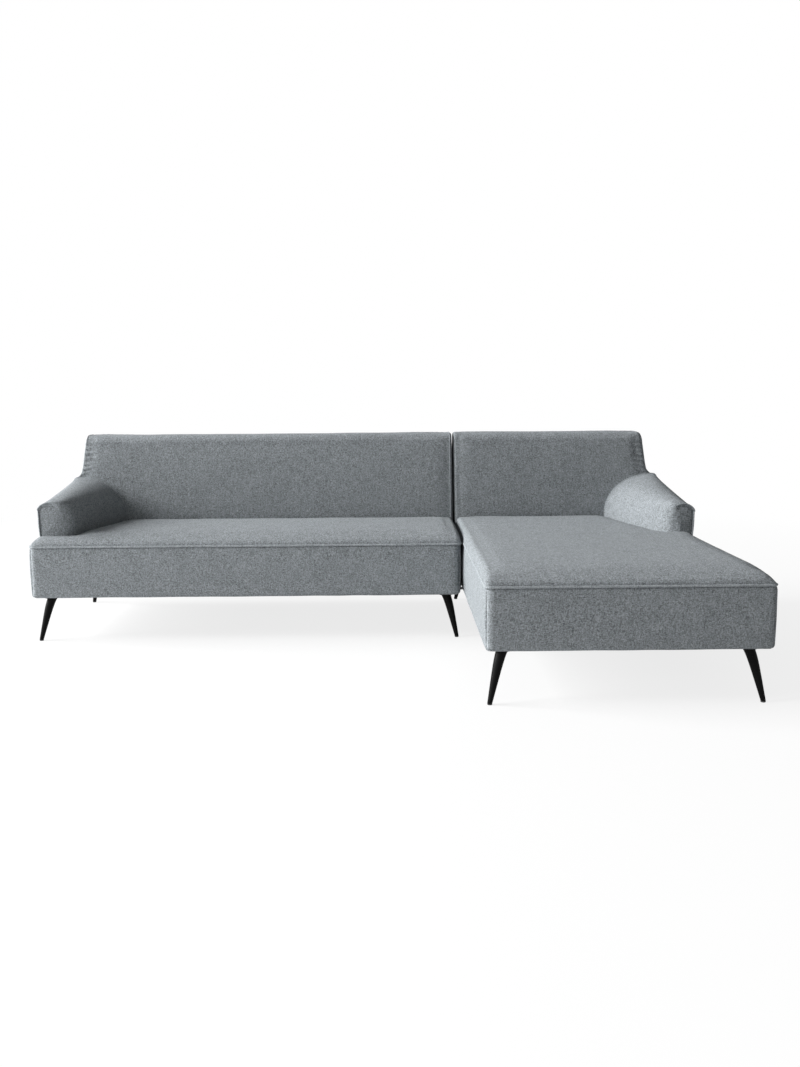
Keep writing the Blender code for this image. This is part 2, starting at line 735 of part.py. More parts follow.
def build_sockets(unit, parent, metal):
    """Cranked straps under the sofa unit that reach below the chaise unit, each with a slot for a pin."""
    join = unit.width / 2
    top = UNDER_PLATE
    rest = top - PIN_PLATE_THICKNESS - FIT
    bend = join - STRAP_BEND
    pin = join + UNIT_GAP + PIN_OFFSET
    end = pin + PIN_PLATE_LENGTH / 2
    outline = [
        (join - STRAP_GRIP, top - STRAP_THICKNESS),
        (join - STRAP_GRIP, top),
        (bend + STRAP_THICKNESS, top),
        (bend + STRAP_THICKNESS, rest),
        (end, rest),
        (end, rest - STRAP_THICKNESS),
        (bend, rest - STRAP_THICKNESS),
        (bend, top - STRAP_THICKNESS),
    ]
    for name, world_y in connector_places().items():
        y = world_y - unit.middle[1]
        bm = prism(outline, (y - STRAP_WIDTH / 2, y + STRAP_WIDTH / 2))
        obj = add_object(f"{unit.name}_{name}_socket_strap", bm, metal, parent)
        half_x = PIN_SIDE / 2 + SOCKET_CLEARANCE
        half_y = PIN_WIDTH / 2 + SOCKET_CLEARANCE
        slot = box_mesh((pin - half_x, pin + half_x), (y - half_y, y + half_y), (rest - PIN_LENGTH, top))
        cut(obj, slot, parent, "pin_slot")


def build_pins(unit, parent, metal):
    """Plates under the chaise unit, each with a tapered pin that drops into a socket strap."""
    x = -unit.width / 2 + PIN_OFFSET
    under = UNDER_PLATE - PIN_PLATE_THICKNESS
    for name, world_y in connector_places().items():
        y = world_y - unit.middle[1]
        sizes = (
            (PIN_PLATE_LENGTH, PIN_PLATE_WIDTH, UNDER_PLATE),
            (PIN_PLATE_LENGTH, PIN_PLATE_WIDTH, under),
            (PIN_SIDE, PIN_WIDTH, under),
            (PIN_SIDE * PIN_DRAFT, PIN_WIDTH * PIN_DRAFT, under - PIN_LENGTH),
        )
        rings = []
        for length, width, level in sizes:
            signs = ((-1, -1), (1, -1), (1, 1), (-1, 1))
            rings.append([(x + a * length / 2, y + b * width / 2, level) for a, b in signs])
        add_object(f"{unit.name}_{name}_locating_pin", loft(rings), metal, parent)


def build_unit(unit, materials, pad_steps, back_steps):
    """All pieces of one unit, hung on an empty at the unit's middle on the floor."""
    parent = bpy.data.objects.new(f"{unit.name}_unit", None)
    parent.location = (*unit.middle, 0.0)
    bpy.context.scene.collection.objects.link(parent)
    build_rails(unit, parent, materials["timber"])
    build_webbing(unit, parent, materials["webbing"])
    build_foam(unit, parent, materials["foam"])
    build_borders(unit, parent, materials["fabric"])
    build_dust_cover(unit, parent, materials["dust_cloth"])
    build_seat_pad(unit, parent, materials["fabric"], *pad_steps)
    build_back_frame(unit, parent, materials["timber"])
    build_back_pad(unit, parent, materials["fabric"], back_steps)
    build_outside_back(unit, parent, materials["fabric"])
    build_arm(unit, parent, materials["fabric"], materials["plywood"])
    build_legs(unit, parent, materials["black_steel"], materials["black_plastic"])
    return parent


def main():
    clear_scene()
    materials = {
        "fabric": make_material("woven_fabric", (0.235, 0.270, 0.290), 0.92),
        "timber": make_material("pine_timber", (0.600, 0.440, 0.270), 0.70),
        "plywood": make_material("birch_plywood", (0.680, 0.530, 0.350), 0.65),
        "foam": make_material("seat_foam", (0.800, 0.780, 0.700), 0.95),
        "webbing": make_material("elastic_webbing", (0.060, 0.060, 0.065), 0.85),
        "dust_cloth": make_material("dust_cloth", (0.020, 0.020, 0.022), 0.95),
        "black_steel": make_material("black_steel", (0.012, 0.012, 0.013), 0.38, 1.0),
        "black_plastic": make_material("black_plastic", (0.015, 0.015, 0.015), 0.50),
        "zinc_steel": make_material("zinc_steel", (0.560, 0.570, 0.580), 0.35, 1.0),
    }
    rear = CHAISE_DEPTH / 2
    sofa = Unit(
        name="sofa",
        width=SOFA_WIDTH,
        depth=SOFA_DEPTH,
        middle=(-TOTAL_WIDTH / 2 + SOFA_WIDTH / 2, rear - SOFA_DEPTH / 2),
        arm_side=-1,
        arm_length=SOFA_ARM_LENGTH,
        corner_radius=SOFA_CORNER_RADIUS,
        web_count=SOFA_WEB_COUNT,
    )
    chaise = Unit(
        name="chaise",
        width=CHAISE_WIDTH,
        depth=CHAISE_DEPTH,
        middle=(TOTAL_WIDTH / 2 - CHAISE_WIDTH / 2, rear - CHAISE_DEPTH / 2),
        arm_side=1,
        arm_length=CHAISE_ARM_LENGTH,
        corner_radius=CHAISE_CORNER_RADIUS,
        web_count=CHAISE_WEB_COUNT,
    )
    sofa_parent = build_unit(sofa, materials, SOFA_PAD_STEPS, SOFA_BACK_STEPS)
    chaise_parent = build_unit(chaise, materials, CHAISE_PAD_STEPS, CHAISE_BACK_STEPS)
    build_sockets(sofa, sofa_parent, materials["zinc_steel"])
    build_pins(chaise, chaise_parent, materials["zinc_steel"])


if __name__ == "__main__":
    main()
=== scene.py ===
"""Looks of the corner sofa: covers, piping, seams, legs and studio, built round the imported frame.

Metres, +Z up, floor at Z = 0. X runs along the backs to the right and the fronts face -Y. Soft
pieces are modelled at the place of the solids that they stand for, then blown up against their
seams by a cloth simulation.
"""

import json
import logging
import math
from dataclasses import dataclass
from enum import Enum
from functools import cached_property, lru_cache
from typing import Callable, Iterable, Sequence

import bmesh
import bpy
import numpy as np
from mathutils import Matrix, Vector, noise
from mathutils.kdtree import KDTree


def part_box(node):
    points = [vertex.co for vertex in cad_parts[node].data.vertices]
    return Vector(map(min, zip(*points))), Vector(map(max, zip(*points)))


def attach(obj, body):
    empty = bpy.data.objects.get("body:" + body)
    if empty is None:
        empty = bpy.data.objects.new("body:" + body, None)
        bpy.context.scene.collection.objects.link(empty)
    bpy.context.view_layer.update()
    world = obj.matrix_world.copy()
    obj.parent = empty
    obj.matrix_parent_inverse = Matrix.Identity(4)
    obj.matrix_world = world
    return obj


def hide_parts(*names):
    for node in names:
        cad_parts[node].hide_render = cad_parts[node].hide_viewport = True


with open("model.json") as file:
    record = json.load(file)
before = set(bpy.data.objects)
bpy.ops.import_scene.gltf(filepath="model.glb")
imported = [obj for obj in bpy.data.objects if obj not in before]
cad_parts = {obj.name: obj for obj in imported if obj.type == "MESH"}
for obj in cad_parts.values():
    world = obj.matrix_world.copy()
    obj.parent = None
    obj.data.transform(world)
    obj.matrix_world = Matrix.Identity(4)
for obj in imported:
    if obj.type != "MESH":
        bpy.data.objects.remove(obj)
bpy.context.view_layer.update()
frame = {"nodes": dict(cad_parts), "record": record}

LOG = logging.getLogger("corner_sofa")

Point = tuple[float, float, float]
Pair = tuple[float, float]
Place = Callable[[float, float], Point]
Mesh = bmesh.types.BMesh
Node = bpy.types.Node
Socket = bpy.types.NodeSocket


class Side(Enum):
    """The end of a unit that holds its arm."""

    LEFT = -1
    RIGHT = 1


# Small shared maths


def blend(first: float, second: float, share: float) -> float:
    """Returns the value at a share of the way from first to second."""
    return first + (second - first) * share


def limit(value: float, low: float = 0.0, high: float = 1.0) -> float:
    """Returns the value kept between low and high."""
    return min(max(value, low), high)


def ease(value: float) -> float:
    """Returns a smooth step of a value from 0 to 1."""
    share = limit(value)
    return share * share * (3 - 2 * share)


def quarter_round(share: float) -> float:
    """Returns the height of a quarter circle, 0 at its foot and 1 from its top on."""
    rest = 1 - limit(share)
    return math.sqrt(1 - rest * rest)


def ripple(x: float, y: float, z: float, size: float) -> float:
    """Returns even noise from -1 to 1 whose waves are about as long as size."""
    return noise.noise(Vector((x, y, z)) / size)


def edge_pull(radius: float, distance: float) -> float:
    """Returns how far a rounded edge draws a face back at a distance from the form's end."""
    return radius - math.sqrt(max(radius**2 - max(radius - distance, 0.0) ** 2, 0.0))


def rightwards(before: Pair, after: Pair) -> Vector:
    """Returns the unit vector to the right of the way from one point of a plane to another.

    Args:
        before: The first point.
        after: The second point.

    Returns:
        The unit vector, or (1, 0) where the points coincide.
    """
    run = Vector((after[0] - before[0], after[1] - before[1]))
    run = run.normalized() if run.length > 1e-9 else Vector((0.0, 1.0))
    return Vector((run.y, -run.x))


def arc(center: Pair, radii: Pair, start: float, sweep: float, steps: int) -> list[Pair]:
    """Draws an arc of a circle or of an upright ellipse.

    Args:
        center: Its centre in a plane.
        radii: Its radius along each way of the plane.
        start: Angle at which it starts, in degrees.
        sweep: Angle that it runs through, in degrees.
        steps: Steps that it is drawn in.

    Returns:
        Points along the arc, both ends included.
    """
    angles = [math.radians(start + sweep * step / steps) for step in range(steps + 1)]
    return [(center[0] + radii[0] * math.cos(turn), center[1] + radii[1] * math.sin(turn)) for turn in angles]


def run_along(line: np.ndarray) -> np.ndarray:
    """Returns how far along a line each of its points lies."""
    return np.concatenate([[0.0], np.cumsum(np.linalg.norm(np.diff(line, axis=0), axis=1))])


def resample(points: Sequence[Pair], spacing: float) -> list[Pair]:
    """Lays points at an even spacing along an open outline.

    Args:
        points: Corners of the outline in a plane.
        spacing: Wanted distance between points, in metres.

    Returns:
        Points along the outline, both ends included.
    """
    line = np.array(points, float)
    run = run_along(line)
    count = max(int(round(run[-1] / spacing)), 1)
    at = np.linspace(0.0, run[-1], count + 1)
    return list(zip(np.interp(at, run, line[:, 0]), np.interp(at, run, line[:, 1])))


@dataclass(frozen=True)
class Waves:
    """Uneven lie of a cloth: long low waves that carry short ones, each with a height and a size."""

    long: Pair
    short: Pair
    apart: float

    def at(self, x: float, y: float, z: float) -> float:
        """Returns the height of the waves at a point."""
        height = self.long[0] * ripple(x, y, z, self.long[1])
        return height + self.short[0] * ripple(x, y, z + self.apart, self.short[1])


SEAT_WAVES = Waves(long=(0.0016, 0.21), short=(0.0009, 0.075), apart=4.0)
PANEL_WAVES = Waves(long=(0.0010, 0.16), short=(0.0005, 0.05), apart=7.0)
BACK_WAVES = Waves(long=(0.0018, 0.19), short=(0.0008, 0.07), apart=3.0)
CORNER_STEPS = 12


# Materials


class Graph:
    """Adds shader nodes to a material or group and links them in a line or two."""

    def __init__(self, tree: bpy.types.NodeTree) -> None:
        """Keeps the tree that nodes are added to."""
        self.tree = tree

    def node(self, kind: str, **settings: object) -> Node:
        """Adds one node.

        Args:
            kind: Blender's name of the node type.
            **settings: Properties to set on it.

        Returns:
            The node.
        """
        node = self.tree.nodes.new(kind)
        for name, value in settings.items():
            setattr(node, name, value)
        return node

    def put(self, socket: Socket, value: object) -> None:
        """Links an output to the socket, or sets the socket to a plain value."""
        if isinstance(value, Socket):
            self.tree.links.new(value, socket)
        else:
            socket.default_value = value

    def math(self, operation: str, *values: object) -> Socket:
        """Returns the result of a Math node of that operation on the values.

        Args:
            operation: Blender's name of the operation.
            *values: Numbers or outputs, in the node's order.

        Returns:
            The node's output.
        """
        node = self.node("ShaderNodeMath", operation=operation)
        for socket, value in zip(node.inputs, values):
            self.put(socket, value)
        return node.outputs[0]

    def noise(self, vector: object, scale: float, detail: float = 2.0, rough: float = 0.5) -> Socket:
        """Returns the factor of a Noise Texture with the given scale, detail and roughness.

        Args:
            vector: Where the noise is read.
            scale: Its scale.
            detail: Its detail.
            rough: Its roughness.

        Returns:
            The noise, from 0 to 1.
        """
        node = self.node("ShaderNodeTexNoise")
        self.put(node.inputs["Vector"], vector)
        for name, value in (("Scale", scale), ("Detail", detail), ("Roughness", rough)):
            self.put(node.inputs[name], value)
        return node.outputs["Fac"]

    def spread(self, value: object, low: float, high: float, to_low: float, to_high: float) -> Socket:
        """Returns a value moved from one range to another and clamped to it.

        Args:
            value: The value.
            low: Low end of the range it comes from.
            high: High end of the range it comes from.
            to_low: What the low end becomes.
            to_high: What the high end becomes.

        Returns:
            The moved value.
        """
        node = self.node("ShaderNodeMapRange")
        for socket, number in zip(node.inputs, (value, low, high, to_low, to_high)):
            self.put(socket, number)
        return node.outputs[0]

    def mix(self, factor: object, first: object, second: object) -> Socket:
        """Returns the mix of two colours.

        Args:
            factor: Share of the second colour.
            first: The first colour.
            second: The second colour.

        Returns:
            The mixed colour.
        """
        node = self.node("ShaderNodeMix", data_type="RGBA")
        for index, value in ((0, factor), (6, first), (7, second)):
            self.put(node.inputs[index], value)
        return node.outputs[2]

    def join(self, x: object, y: object, z: object) -> Socket:
        """Returns a vector put together from three values.

        Args:
            x: Its first part.
            y: Its second part.
            z: Its third part.

        Returns:
            The vector.
        """
        node = self.node("ShaderNodeCombineXYZ")
        for socket, value in zip(node.inputs, (x, y, z)):
            self.put(socket, value)
        return node.outputs[0]

    def split(self, vector: Socket) -> Sequence[Socket]:
        """Returns the three parts of a vector."""
        node = self.node("ShaderNodeSeparateXYZ")
        self.put(node.inputs[0], vector)
        return node.outputs

    def seen(self) -> Socket:
        """Returns 1 on the rays by which the camera sees, and 0 on those that only carry light."""
        rays = self.node("ShaderNodeLightPath")
        seen = self.math("MAXIMUM", rays.outputs["Is Camera Ray"], rays.outputs["Is Glossy Ray"])
        return self.math("MAXIMUM", seen, rays.outputs["Is Transmission Ray"])

    def bump(self, height: object, distance: float, strength: float, normal: object = None) -> Socket:
        """Returns a bumped normal, on top of another where one is given.

        Args:
            height: Height of the relief.
            distance: Its depth in metres.
            strength: Its strength.
            normal: Normal that it is laid on.

        Returns:
            The bumped normal.
        """
        node = self.node("ShaderNodeBump")
        for name, value in (("Height", height), ("Distance", distance), ("Strength", strength)):
            self.put(node.inputs[name], value)
        if normal is not None:
            self.put(node.inputs["Normal"], normal)
        return node.outputs[0]


@dataclass(frozen=True)
class Finish:
    """A surface finish with its even values. Each kind adds its own pattern."""

    name: str
    color: tuple[float, float, float]
    roughness: float = 0.5
    metallic: float = 0.0

    def make(self) -> bpy.types.Material:
        """Builds the material.

        Returns:
            A material whose Principled BSDF has the even values and this finish's pattern.
        """
        material = bpy.data.materials.new(self.name)
        material.use_nodes = True
        graph = Graph(material.node_tree)
        shader = material.node_tree.nodes["Principled BSDF"]
        shader.inputs["Base Color"].default_value = (*self.color, 1.0)
        shader.inputs["Roughness"].default_value = self.roughness
        shader.inputs["Metallic"].default_value = self.metallic
        coordinates = graph.node("ShaderNodeTexCoord")
        self.pattern(graph, shader, coordinates)
        return material

    def pattern(self, graph: Graph, shader: Node, coordinates: Node) -> None:
        """Adds nothing to the even values; kinds of finish replace this."""

    def tone(self, graph: Graph, factor: object, dark: float, light: float) -> Socket:
        """Returns the finish's colour taken from a darker to a lighter tone by a factor.

        Args:
            graph: Graph of the material.
            factor: Share of the lighter tone.
            dark: Darker tone as a share of the colour.
            light: Lighter tone as a share of the colour.

        Returns:
            The colour.
        """
        low = (*[part * dark for part in self.color], 1.0)
        high = (*[min(part * light, 1.0) for part in self.color], 1.0)
        return graph.mix(factor, low, high)


@dataclass(frozen=True)
class WovenFabric(Finish):
    """Melange upholstery cloth in a plain weave, laid on the three main planes and blended between."""

    threads_per_metre: float = 500.0
    speckle_scale: float = 250.0
    cloud_scale: float = 26.0
    fuzz_scale: float = 700.0
    darkest: float = 0.40
    lightest: float = 1.62
    sheen: float = 0.12

    def weave_group(self) -> bpy.types.NodeTree:
        """Builds the weave of one plane as a node group.

        Returns:
            A group with the inputs Across and Along in metres, and the outputs Height, Tone and Slub.
        """
        tree = bpy.data.node_groups.new(f"{self.name}_weave", "ShaderNodeTree")
        for name in ("Across", "Along"):
            tree.interface.new_socket(name, in_out="INPUT", socket_type="NodeSocketFloat")
        for name in ("Height", "Tone", "Slub"):
            tree.interface.new_socket(name, in_out="OUTPUT", socket_type="NodeSocketFloat")
        graph = Graph(tree)
        source = graph.node("NodeGroupInput")
        warp = graph.math("MULTIPLY", source.outputs["Across"], self.threads_per_metre)
        weft = graph.math("MULTIPLY", source.outputs["Along"], self.threads_per_metre)
        warp_row, weft_row = graph.math("FLOOR", warp), graph.math("FLOOR", weft)
        over = graph.math("MODULO", graph.math("ADD", warp_row, weft_row), 2.0)
        over = graph.math("ABSOLUTE", over)
        rounds = []
        for position in (warp, weft):
            middle = graph.math("SUBTRACT", graph.math("FRACT", position), 0.5)
            square = graph.math("MULTIPLY", middle, graph.math("MULTIPLY", middle, 4.0))
            rounds.append(graph.math("SUBTRACT", 1.0, square))
        domes = [
            graph.math("MULTIPLY", first, graph.math("MULTIPLY_ADD", second, 0.45, 0.55))
            for first, second in (rounds, rounds[::-1])
        ]
        swap = graph.math("SUBTRACT", 1.0, over)
        height = graph.math("MULTIPLY_ADD", domes[0], over, graph.math("MULTIPLY", domes[1], swap))
        warp_yarn = graph.noise(graph.join(warp_row, graph.math("MULTIPLY", weft, 0.30), 3.7), 0.73, 1.0)
        weft_yarn = graph.noise(graph.join(graph.math("MULTIPLY", warp, 0.30), weft_row, 41.3), 0.73, 1.0)
        tone = graph.math("MULTIPLY_ADD", warp_yarn, over, graph.math("MULTIPLY", weft_yarn, swap))
        coarse = []
        for fine, long, seed in ((0.40, 0.075, 7.7), (0.075, 0.40, 19.1)):
            across, along = graph.math("MULTIPLY", warp, fine), graph.math("MULTIPLY", weft, long)
            coarse.append(graph.noise(graph.join(across, along, seed), 1.0, 2.0, 0.6))
        result = graph.node("NodeGroupOutput")
        graph.put(result.inputs["Height"], height)
        graph.put(result.inputs["Tone"], tone)
        graph.put(result.inputs["Slub"], graph.math("MAXIMUM", *coarse))
        return tree

    def pattern(self, graph: Graph, shader: Node, coordinates: Node) -> None:
        """Adds the weave, the melange speckle, soft cloudiness, the sheen and a painted highlight on the
        piping.

        Args:
            graph: Graph of the material.
            shader: Its Principled BSDF.
            coordinates: Its Texture Coordinate node.
        """
        place = coordinates.outputs["Object"]
        x, y, z = graph.split(place)
        shares = [
            graph.math("POWER", graph.math("ABSOLUTE", part), 6.0)
            for part in graph.split(coordinates.outputs["Normal"])
        ]
        total = graph.math("ADD", graph.math("ADD", shares[0], shares[1]), shares[2])
        weave = self.weave_group()
        height = tone = slub = 0.0
        for share, across, along in zip(shares, (y, x, x), (z, z, y)):
            group = graph.node("ShaderNodeGroup", node_tree=weave)
            graph.put(group.inputs["Across"], across)
            graph.put(group.inputs["Along"], along)
            weight = graph.math("DIVIDE", share, total)
            height = graph.math("MULTIPLY_ADD", group.outputs["Height"], weight, height)
            tone = graph.math("MULTIPLY_ADD", group.outputs["Tone"], weight, tone)
            slub = graph.math("MULTIPLY_ADD", group.outputs["Slub"], weight, slub)
        speckle = graph.noise(place, self.speckle_scale, 2.0, 0.70)
        cloud = graph.noise(place, self.cloud_scale, 3.0, 0.6)
        yarn = graph.spread(tone, 0.28, 0.72, -0.5, 0.5)
        fleck = graph.spread(speckle, 0.30, 0.70, -0.5, 0.5)
        knot = graph.spread(slub, 0.38, 0.74, -0.5, 0.5)
        # Painted highlight: an attribute set to 1 on the piping lightens the cord's colour, standing in for
        # the light its curve catches.
        cord_highlight_paint = graph.node("ShaderNodeAttribute", attribute_name="cord_highlight_paint").outputs["Fac"]
        drift = graph.spread(cloud, 0.30, 0.70, -0.5, 0.5)
        level = graph.math("MULTIPLY_ADD", yarn, 0.75, 0.5)
        for part, strength in ((fleck, 0.80), (knot, 0.36), (cord_highlight_paint, 0.24), (drift, 0.12)):
            level = graph.math("MULTIPLY_ADD", part, strength, level)
        color = self.tone(graph, level, self.darkest, self.lightest)
        graph.put(shader.inputs["Base Color"], color)
        fuzz = graph.noise(place, self.fuzz_scale, 2.0, 0.6)
        normal = None
        reliefs = ((speckle, 0.0016, 0.60), (fuzz, 0.0006, 0.35), (height, 0.0007, 0.70))
        for relief, depth, strength in reliefs:
            normal = graph.bump(relief, depth, strength, normal)
        graph.put(shader.inputs["Normal"], normal)
        graph.put(shader.inputs["Roughness"], graph.spread(speckle, 0.3, 0.7, 0.86, 0.98))
        shader.inputs["Specular IOR Level"].default_value = 0.18
        shader.inputs["Sheen Weight"].default_value = self.sheen
        shader.inputs["Sheen Roughness"].default_value = 0.45
        shader.inputs["Sheen Tint"].default_value = (0.90, 0.95, 1.0, 1.0)


@dataclass(frozen=True)
class SawnWood(Finish):
    """Unfinished timber with long grain, as on pine rails, or with thin layers, as on plywood."""

    rings_per_metre: float = 90.0

    def pattern(self, graph: Graph, shader: Node, coordinates: Node) -> None:
        """Adds growth rings bent by noise, and fine pores along the grain.

        Args:
            graph: Graph of the material.
            shader: Its Principled BSDF.
            coordinates: Its Texture Coordinate node.
        """
        stretch = graph.node("ShaderNodeMapping")
        graph.put(stretch.inputs["Vector"], coordinates.outputs["Object"])
        stretch.inputs["Scale"].default_value = (0.35, 0.35, 1.0)
        wave = graph.node("ShaderNodeTexWave", bands_direction="Z")
        graph.put(wave.inputs["Vector"], stretch.outputs[0])
        for name, value in (("Scale", self.rings_per_metre), ("Distortion", 5.0), ("Detail", 2.0)):
            wave.inputs[name].default_value = value
        pores = graph.noise(stretch.outputs[0], 900.0, 2.0, 0.6)
        level = graph.math("MULTIPLY_ADD", pores, 0.35, graph.math("MULTIPLY", wave.outputs["Fac"], 0.65))
        graph.put(shader.inputs["Base Color"], self.tone(graph, level, 0.72, 1.18))
        graph.put(shader.inputs["Roughness"], graph.spread(level, 0.0, 1.0, 0.62, 0.82))
        graph.put(shader.inputs["Normal"], graph.bump(level, 0.0004, 0.4))


@dataclass(frozen=True)
class CutFoam(Finish):
    """Open-cell foam with a cut face."""

    def pattern(self, graph: Graph, shader: Node, coordinates: Node) -> None:
        """Adds small cells and a slight yellowing.

        Args:
            graph: Graph of the material.
            shader: Its Principled BSDF.
            coordinates: Its Texture Coordinate node.
        """
        cells = graph.node("ShaderNodeTexVoronoi")
        graph.put(cells.inputs["Vector"], coordinates.outputs["Object"])
        cells.inputs["Scale"].default_value = 900.0
        age = graph.noise(coordinates.outputs["Object"], 9.0, 2.0)
        graph.put(shader.inputs["Base Color"], self.tone(graph, age, 0.88, 1.06))
        graph.put(shader.inputs["Normal"], graph.bump(cells.outputs["Distance"], 0.0008, 0.5))


@dataclass(frozen=True)
class BandedCloth(Finish):
    """Webbing or base cloth: close ribs along one way over a soft ground."""

    ribs_per_metre: float = 700.0

    def pattern(self, graph: Graph, shader: Node, coordinates: Node) -> None:
        """Adds ribs and a fibrous speckle.

        Args:
            graph: Graph of the material.
            shader: Its Principled BSDF.
            coordinates: Its Texture Coordinate node.
        """
        place = coordinates.outputs["Object"]
        wave = graph.node("ShaderNodeTexWave", bands_direction="X")
        graph.put(wave.inputs["Vector"], place)
        wave.inputs["Scale"].default_value = self.ribs_per_metre / 3.2
        fibres = graph.noise(place, 420.0, 3.0, 0.7)
        graph.put(shader.inputs["Base Color"], self.tone(graph, fibres, 0.6, 1.5))
        height = graph.math("MULTIPLY_ADD", fibres, 0.5, wave.outputs["Fac"])
        graph.put(shader.inputs["Normal"], graph.bump(height, 0.0004, 0.5))


@dataclass(frozen=True)
class CoatedMetal(Finish):
    """Satin powder coat or thin plating with a fine orange peel and faint wear."""

    peel_per_metre: float = 420.0
    peel: float = 0.12
    gloss: float = 0.5

    def pattern(self, graph: Graph, shader: Node, coordinates: Node) -> None:
        """Adds the peel to the surface, and handling marks to its gloss and tone.

        Args:
            graph: Graph of the material.
            shader: Its Principled BSDF.
            coordinates: Its Texture Coordinate node.
        """
        place = coordinates.outputs["Object"]
        peel = graph.noise(place, self.peel_per_metre, 2.0, 0.5)
        marks = graph.noise(place, 38.0, 4.0, 0.65)
        low, high = self.roughness * 0.85, self.roughness * 1.25
        graph.put(shader.inputs["Base Color"], self.tone(graph, marks, 0.85, 1.25))
        graph.put(shader.inputs["Roughness"], graph.spread(marks, 0.3, 0.7, low, high))
        shader.inputs["Specular IOR Level"].default_value = self.gloss
        graph.put(shader.inputs["Normal"], graph.bump(peel, 0.0003, self.peel))


@dataclass(frozen=True)
class MouldedPlastic(Finish):
    """Fine-grained moulded plastic."""

    def pattern(self, graph: Graph, shader: Node, coordinates: Node) -> None:
        """Adds the mould's grain and scuffs.

        Args:
            graph: Graph of the material.
            shader: Its Principled BSDF.
            coordinates: Its Texture Coordinate node.
        """
        place = coordinates.outputs["Object"]
        grain = graph.noise(place, 1500.0, 2.0, 0.5)
        scuffs = graph.noise(place, 140.0, 3.0, 0.7)
        graph.put(shader.inputs["Base Color"], self.tone(graph, scuffs, 0.8, 1.6))
        graph.put(shader.inputs["Roughness"], graph.spread(scuffs, 0.3, 0.7, 0.42, 0.62))
        graph.put(shader.inputs["Normal"], graph.bump(grain, 0.0002, 0.3))


FINISHES: dict[str, Finish] = {
    "fabric": WovenFabric("blue_grey_melange_weave", (0.213, 0.231, 0.243), 0.92),
    "timber": SawnWood("sawn_pine", (0.600, 0.440, 0.270), 0.70),
    "plywood": SawnWood("birch_plywood", (0.680, 0.530, 0.350), 0.65, rings_per_metre=300.0),
    "foam": CutFoam("cut_foam", (0.800, 0.760, 0.640), 0.95),
    "webbing": BandedCloth("elastic_webbing", (0.060, 0.060, 0.065), 0.85),
    "dust_cloth": BandedCloth("base_cloth", (0.020, 0.020, 0.022), 0.95, ribs_per_metre=1400.0),
    "black_steel": CoatedMetal("satin_black_coat", (0.004, 0.004, 0.004), 0.46, 0.0, gloss=0.05),
    "black_plastic": MouldedPlastic("moulded_black_plastic", (0.015, 0.015, 0.015), 0.50),
    "zinc_steel": CoatedMetal("zinc_plate", (0.560, 0.570, 0.580), 0.34, 1.0, peel=0.05),
}


class Wardrobe:
    """Makes each finish once and hands it out by the record's slot name."""

    def __init__(self) -> None:
        """Starts with no material made."""
        self.made: dict[str, bpy.types.Material] = {}

    def get(self, slot: str) -> bpy.types.Material:
        """Returns the material of a slot, made on first use."""
        if slot not in self.made:
            self.made[slot] = FINISHES[slot].make()
        return self.made[slot]

    def dress_nodes(self) -> None:
        """Puts the slot's material on every node of the frame."""
        for part in frame["record"]["subparts"]:
            node = frame["nodes"][part["node"]]
            node.data.materials.clear()
            node.data.materials.append(self.get(part["material_slot"]))


# Meshes


def add_object(name: str, data: bpy.types.ID) -> bpy.types.Object:
    """Returns a new object with that data, linked to the scene.

    Args:
        name: Name of the object.
        data: Its mesh, curve, light or camera.

    Returns:
        The object.
    """
    added = bpy.data.objects.new(name, data)
    bpy.context.scene.collection.objects.link(added)
    return added


def thicken(bm: Mesh, thickness: float, outwards: Callable[[bmesh.types.BMFace], float]) -> None:
    """Turns an open sheet's faces outwards and gives it a thickness behind them.

    Args:
        bm: The open sheet.
        thickness: Its thickness.
        outwards: Gives how far a face points outwards, less than 0 where it points inwards.
    """
    bmesh.ops.recalc_face_normals(bm, faces=bm.faces)
    if sum(outwards(face) for face in bm.faces) < 0:
        bmesh.ops.reverse_faces(bm, faces=bm.faces)
    bmesh.ops.solidify(bm, geom=bm.faces[:], thickness=thickness)
    bmesh.ops.recalc_face_normals(bm, faces=bm.faces)


def sheet_mesh(columns: int, rows: int, place: Place) -> Mesh:
    """Bends a flat grid into a surface.

    Args:
        columns: Faces along the first way.
        rows: Faces along the second way.
        place: Gives a point in space for two shares from 0 to 1.

    Returns:
        The bent grid.
    """
    bm = bmesh.new()
    bmesh.ops.create_grid(bm, x_segments=columns, y_segments=rows, size=0.5)
    for vert in bm.verts:
        vert.co = place(limit(vert.co.x + 0.5), limit(vert.co.y + 0.5))
    return bm


def stations(length: float, first: float, last: float, spacing: float) -> list[float]:
    """Spaces rings along a form: close together in its rounded ends and even between them.

    Args:
        length: Length of the form.
        first: Radius of the rounding at its start.
        last: Radius of the rounding at its end.
        spacing: Wanted distance between the even rings.

    Returns:
        Distances from the start, both ends included.
    """
    turns = [1 - math.cos(math.radians(15 * step)) for step in range(6)]
    head = [first * turn for turn in turns] if first else []
    tail = [length - last * turn for turn in reversed(turns)] if last else []
    count = max(int((length - first - last) / spacing), 1)
    middle = [blend(first, length - last, step / count) for step in range(count + 1)]
    return head + middle + tail


